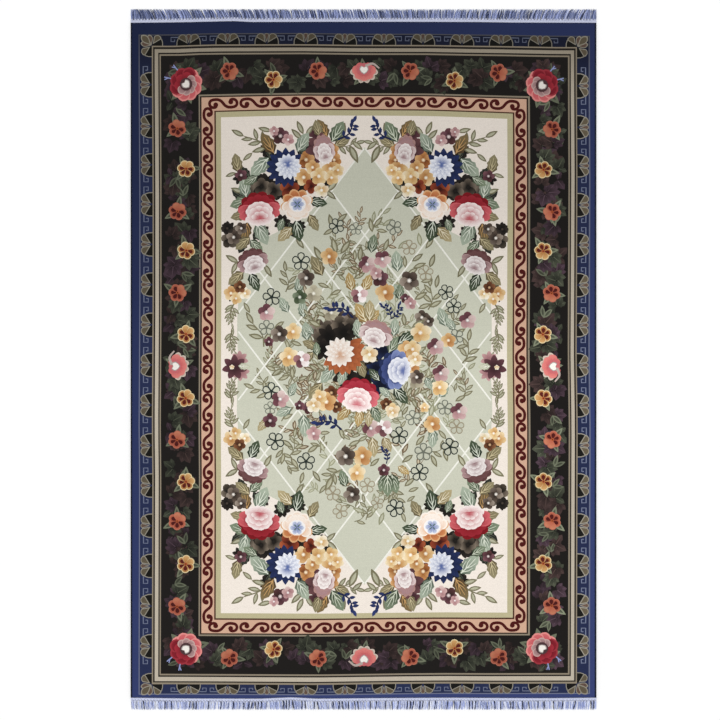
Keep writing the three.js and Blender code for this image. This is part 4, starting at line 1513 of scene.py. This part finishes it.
def nap_sheen_group():
    """The nap's painted sheen and shade: soft clouds, thin streaks along the rows, a light and a dark end.
    """
    sockets = [("Cloud", 0.05), ("Streak", 0.04), ("Light end", 1.0), ("Dark end", 1.0)]
    tree, given, result = shader_group("Painted nap sheen", sockets, [("Shade", "NodeSocketFloat")])
    place = node(tree, "ShaderNodeTexCoord").outputs["Object"]
    clouds = node(tree, "ShaderNodeTexNoise", {"Vector": place, "Scale": 3.0, "Detail": 3.0}).outputs[0]
    stretched = node(tree, "ShaderNodeMapping", {"Vector": place, "Scale": (6.0, 160.0, 1.0)}).outputs[0]
    streaks = node(tree, "ShaderNodeTexNoise", {"Vector": stretched, "Scale": 1.0, "Detail": 2.0}).outputs[0]
    y = node(tree, "ShaderNodeSeparateXYZ", {"Vector": place}).outputs["Y"]
    sum_up = maths(tree, "MULTIPLY_ADD", maths(tree, "SUBTRACT", clouds, 0.5), given["Cloud"], 1.0)
    sum_up = maths(tree, "MULTIPLY_ADD", maths(tree, "SUBTRACT", streaks, 0.5), given["Streak"], sum_up)
    ends = {"To Min": given["Light end"], "To Max": given["Dark end"]}
    turned = node(tree, "ShaderNodeMapRange", {"Value": y, **NAP_TURNS, **ends},
                  interpolation_type="SMOOTHSTEP").outputs[0]
    tree.links.new(maths(tree, "MULTIPLY", sum_up, turned), result["Shade"])
    return tree


def shaded_silk_group():
    """A yarn's colour, made lighter or darker by its shade, on the pile the nap's painted sheen, and by each
    tuft.
    """
    sockets = [("Colour", (0.5, 0.5, 0.5, 1.0)), ("Shade", 1.0), ("Speckle", 0.5),
               ("Speckle strength", 0.12)]
    tree, given, result = shader_group("Shaded silk", sockets, [("Colour", "NodeSocketColor")])
    off_middle = maths(tree, "SUBTRACT", given["Speckle"], 0.5)
    tuft = maths(tree, "MULTIPLY_ADD", off_middle, given["Speckle strength"], 1.0)
    strength = maths(tree, "MULTIPLY", tuft, given["Shade"])
    scaled = node(tree, "ShaderNodeVectorMath", {0: given["Colour"], "Scale": strength}, operation="SCALE")
    tree.links.new(scaled.outputs[0], result["Colour"])
    return tree


def thread_group():
    """Fine twisted thread: slanting ridges as height and as a change of tone."""
    tree, given, result = shader_group(
        "Twisted thread", [("Twists per metre", 400.0), ("Tone change", 0.3)],
        [("Height", "NodeSocketFloat"), ("Tone", "NodeSocketFloat")])
    place = node(tree, "ShaderNodeTexCoord").outputs["Object"]
    slanted = node(tree, "ShaderNodeMapping", {"Vector": place, "Rotation": (0.0, 0.0, 0.6)}).outputs[0]
    ridges = node(tree, "ShaderNodeTexWave",
                  {"Vector": slanted, "Scale": given[0], "Distortion": 1.5}).outputs[1]
    tone = maths(tree, "MULTIPLY_ADD", maths(tree, "SUBTRACT", ridges, 0.5), given["Tone change"], 1.0)
    tree.links.new(ridges, result["Height"])
    tree.links.new(tone, result["Tone"])
    return tree


KNOTS, NAP_SHEEN_GROUP, SHADED_SILK, THREAD = knots_group(), nap_sheen_group(), shaded_silk_group(), thread_group()
print("shader groups:", [g.name for g in bpy.data.node_groups])

# %% [markdown]
# Materials
#
# Each piece gets a Principled material fed by the groups. The pile and the back read the pattern from
# the yarn colours at the mesh's corners, and a weak mix of pale warps dulls the back. The strands
# carry their yarns in the same way, and the cords and end bands have one yarn each. Silk's shine could
# be a clear coat, but cut pile scatters light, so it is a rough surface with a little sheen.

# %% Materials
SHEEN_ROUGHNESS = 0.45
WARPS = (0.42, 0.42, 0.46, 1)  # the pale warps that dull the back
# painted sheen and shade of the nap: a light and a dark end, with soft clouds and streaks
PAINTED_NAP_SHEEN = {"Cloud": 0.1, "Streak": 0.08, "Light end": 1.03, "Dark end": 0.75}
CORD_YARN = "151a2b"
BAND_YARNS = {"top": "c4c8de", "bottom": "d2d8f2"}


def material(name, roughness, sheen, specular=0.08):
    """A Principled material for cloth; gives it, its tree and the shader."""
    made = bpy.data.materials.new(name)
    made.use_nodes = True
    shader = made.node_tree.nodes["Principled BSDF"]
    shader.inputs["Roughness"].default_value = roughness
    shader.inputs["Sheen Weight"].default_value = sheen
    shader.inputs["Sheen Roughness"].default_value = SHEEN_ROUGHNESS
    shader.inputs["Specular IOR Level"].default_value = specular
    return made, made.node_tree, shader


def grouped(tree, group, inputs):
    """One of the shader groups at work in a material; gives its outputs."""
    return node(tree, "ShaderNodeGroup", inputs, node_tree=group).outputs


def finished(tree, shader, colour, height, distance, strength):
    """Gives the shader its colour, and a bump of that distance in metres."""
    tree.links.new(colour, shader.inputs["Base Color"])
    bump = node(tree, "ShaderNodeBump", {"Height": height, "Distance": distance, "Strength": strength})
    tree.links.new(bump.outputs[0], shader.inputs["Normal"])


def knotted(name, roughness, sheen, knots, speckle, bump, dull=0.0):
    """Cloth coloured by the woven pattern and the nap's painted sheen; dull mixes in the pale warps behind.
    """
    made, tree, shader = material(name, roughness, sheen)
    pattern = node(tree, "ShaderNodeVertexColor", layer_name="yarn").outputs[0]
    if dull:
        mixed = {"Factor": dull, "A": pattern, "B": WARPS}
        pattern = node(tree, "ShaderNodeMix", mixed, data_type="RGBA").outputs[2]
    tufts = grouped(tree, KNOTS, {"Knots per metre": knots})
    # the nap's painted sheen and shade, darkening the pattern towards the top end
    nap = grouped(tree, NAP_SHEEN_GROUP, PAINTED_NAP_SHEEN)
    shaded_yarn = grouped(tree, SHADED_SILK, {"Colour": pattern, "Shade": nap["Shade"], "Speckle": tufts["Speckle"],
                                "Speckle strength": speckle})
    finished(tree, shader, shaded_yarn["Colour"], tufts["Height"], distance=bump, strength=0.6)
    return made


def twisted(name, colour=None):
    """Silk thread of one colour, or of the colours that the mesh carries if none is given."""
    made, tree, shader = material(name, roughness=0.55, sheen=0.15)
    twist = grouped(tree, THREAD, {"Twists per metre": 260.0, "Tone change": 0.35})
    if colour is None:
        base = node(tree, "ShaderNodeVertexColor", layer_name="yarn").outputs[0]
    else:
        base = (*silk(colour), 1)
    shaded_yarn = grouped(tree, SHADED_SILK, {"Colour": base, "Shade": twist["Tone"], "Speckle strength": 0.0})
    finished(tree, shader, shaded_yarn["Colour"], twist["Height"], distance=0.0006, strength=0.5)
    return made


pile.data.materials.append(knotted("Silk pile", roughness=0.62, sheen=0.03, knots=620.0,
                                   speckle=0.16, bump=0.0008))
back.data.materials.append(knotted("Knotted back", roughness=0.75, sheen=0.0, knots=480.0,
                                   speckle=0.35, bump=0.0012, dull=0.3))
for cord in cords:
    cord.data.materials.append(twisted("Wound silk " + cord.name, CORD_YARN))
for piece in strands.values():
    piece.data.materials.append(twisted("Fringe thread " + piece.name))
for end, piece in end_bands.items():
    piece.data.materials.append(twisted("Woven band " + piece.name, BAND_YARNS[end]))
print("materials:", [m.name for m in bpy.data.materials])

# %% [markdown]
# Setting the rug down
#
# A rug has no parts that move, so every piece rides on its one body, and each stands for the plain
# solid that it dresses. The floor is a pale square, far wider than the picture, and isn't part of the
# rug.

# %% Riding, standing for solids, and the floor
FLOOR = {"half": 9, "drop": 0.0004, "colour": (0.98, 0.98, 0.98, 1)}  # metres
STANDS_FOR = {
    "carpet": ([pile, back], "pile"),
    "side_cord_left": ([cords[0]], "side_cord"),
    "side_cord_right": ([cords[1]], "side_cord"),
    "fringe_top": ([strands["top"], end_bands["top"]], "fringe"),
    "fringe_bottom": ([strands["bottom"], end_bands["bottom"]], "fringe"),
}
for solid, (dressed, slot) in STANDS_FOR.items():
    for piece in dressed:
        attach(piece, "root")
        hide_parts(solid)
signs = [(-1, -1), (1, -1), (1, 1), (-1, 1)]
floor_corners = [(x * FLOOR["half"], y * FLOOR["half"], -FLOOR["drop"]) for x, y in signs]
floor_mesh = bpy.data.meshes.new("floor")
floor_mesh.from_pydata(floor_corners, [], [(0, 1, 2, 3)])
floor = bpy.data.objects.new("floor", floor_mesh)
bpy.context.scene.collection.objects.link(floor)
floor_look, _, floor_shader = material("Pale floor", roughness=0.9, sheen=0.0, specular=0.0)
floor_shader.inputs["Base Color"].default_value = FLOOR["colour"]
floor_mesh.materials.append(floor_look)

# %% [markdown]
# Light and camera
#
# The rug was pictured from straight above in even light. Lamps round it would light one side more than
# the other. So a white sky lights everything alike, and a wide, soft sun gives the strands and the rim
# a little shape. The camera looks straight down from far off with a long lens, so that the thickness
# of the rug doesn't show at its sides. Its height follows from the lens and the width to be seen.

# %% Light and camera
SKY_LIGHT = 0.62
SUN = {"strength": 1.5, "spread": 25, "tilt": (28, -14)}  # degrees
LENS, SENSOR = 85, 36  # millimetres
FRAME_SIDE = 2.827  # metres that the picture shows from side to side
CAMERA_AT = (-0.0137, -0.002)  # the rug lies a little right of and above the picture's middle
HEIGHT = LENS / SENSOR * FRAME_SIDE
scene = bpy.context.scene
scene.view_settings.view_transform = "Standard"
world = bpy.data.worlds.new("Studio")
world.use_nodes = True
sky = world.node_tree.nodes["Background"].inputs
sky["Color"].default_value = (1.0, 1.0, 1.0, 1)
sky["Strength"].default_value = SKY_LIGHT
scene.world = world
sun = bpy.data.lights.new("Soft sun", "SUN")
sun.energy = SUN["strength"]
sun.angle = math.radians(SUN["spread"])
sun_lamp = bpy.data.objects.new("Soft sun", sun)
sun_lamp.rotation_euler = (*np.radians(SUN["tilt"]), 0)
scene.collection.objects.link(sun_lamp)
camera = bpy.data.cameras.new("Camera")
camera.lens = LENS
camera_stand = bpy.data.objects.new("Camera", camera)
camera_stand.location = (*CAMERA_AT, HEIGHT + THICK * CM)
scene.collection.objects.link(camera_stand)
scene.camera = camera_stand
print("camera", round(HEIGHT, 2), "m above the pile")

# %% [markdown]
# Sizes of the solids
#
# The rug in silk should be as large as the plain solids, apart from a hair's breadth of thread. Here
# the solids' box is read into its lowest and its highest corner.

# %% Sizes of the solids
low, high = (np.array(tuple(v)) for v in size_of_solids)
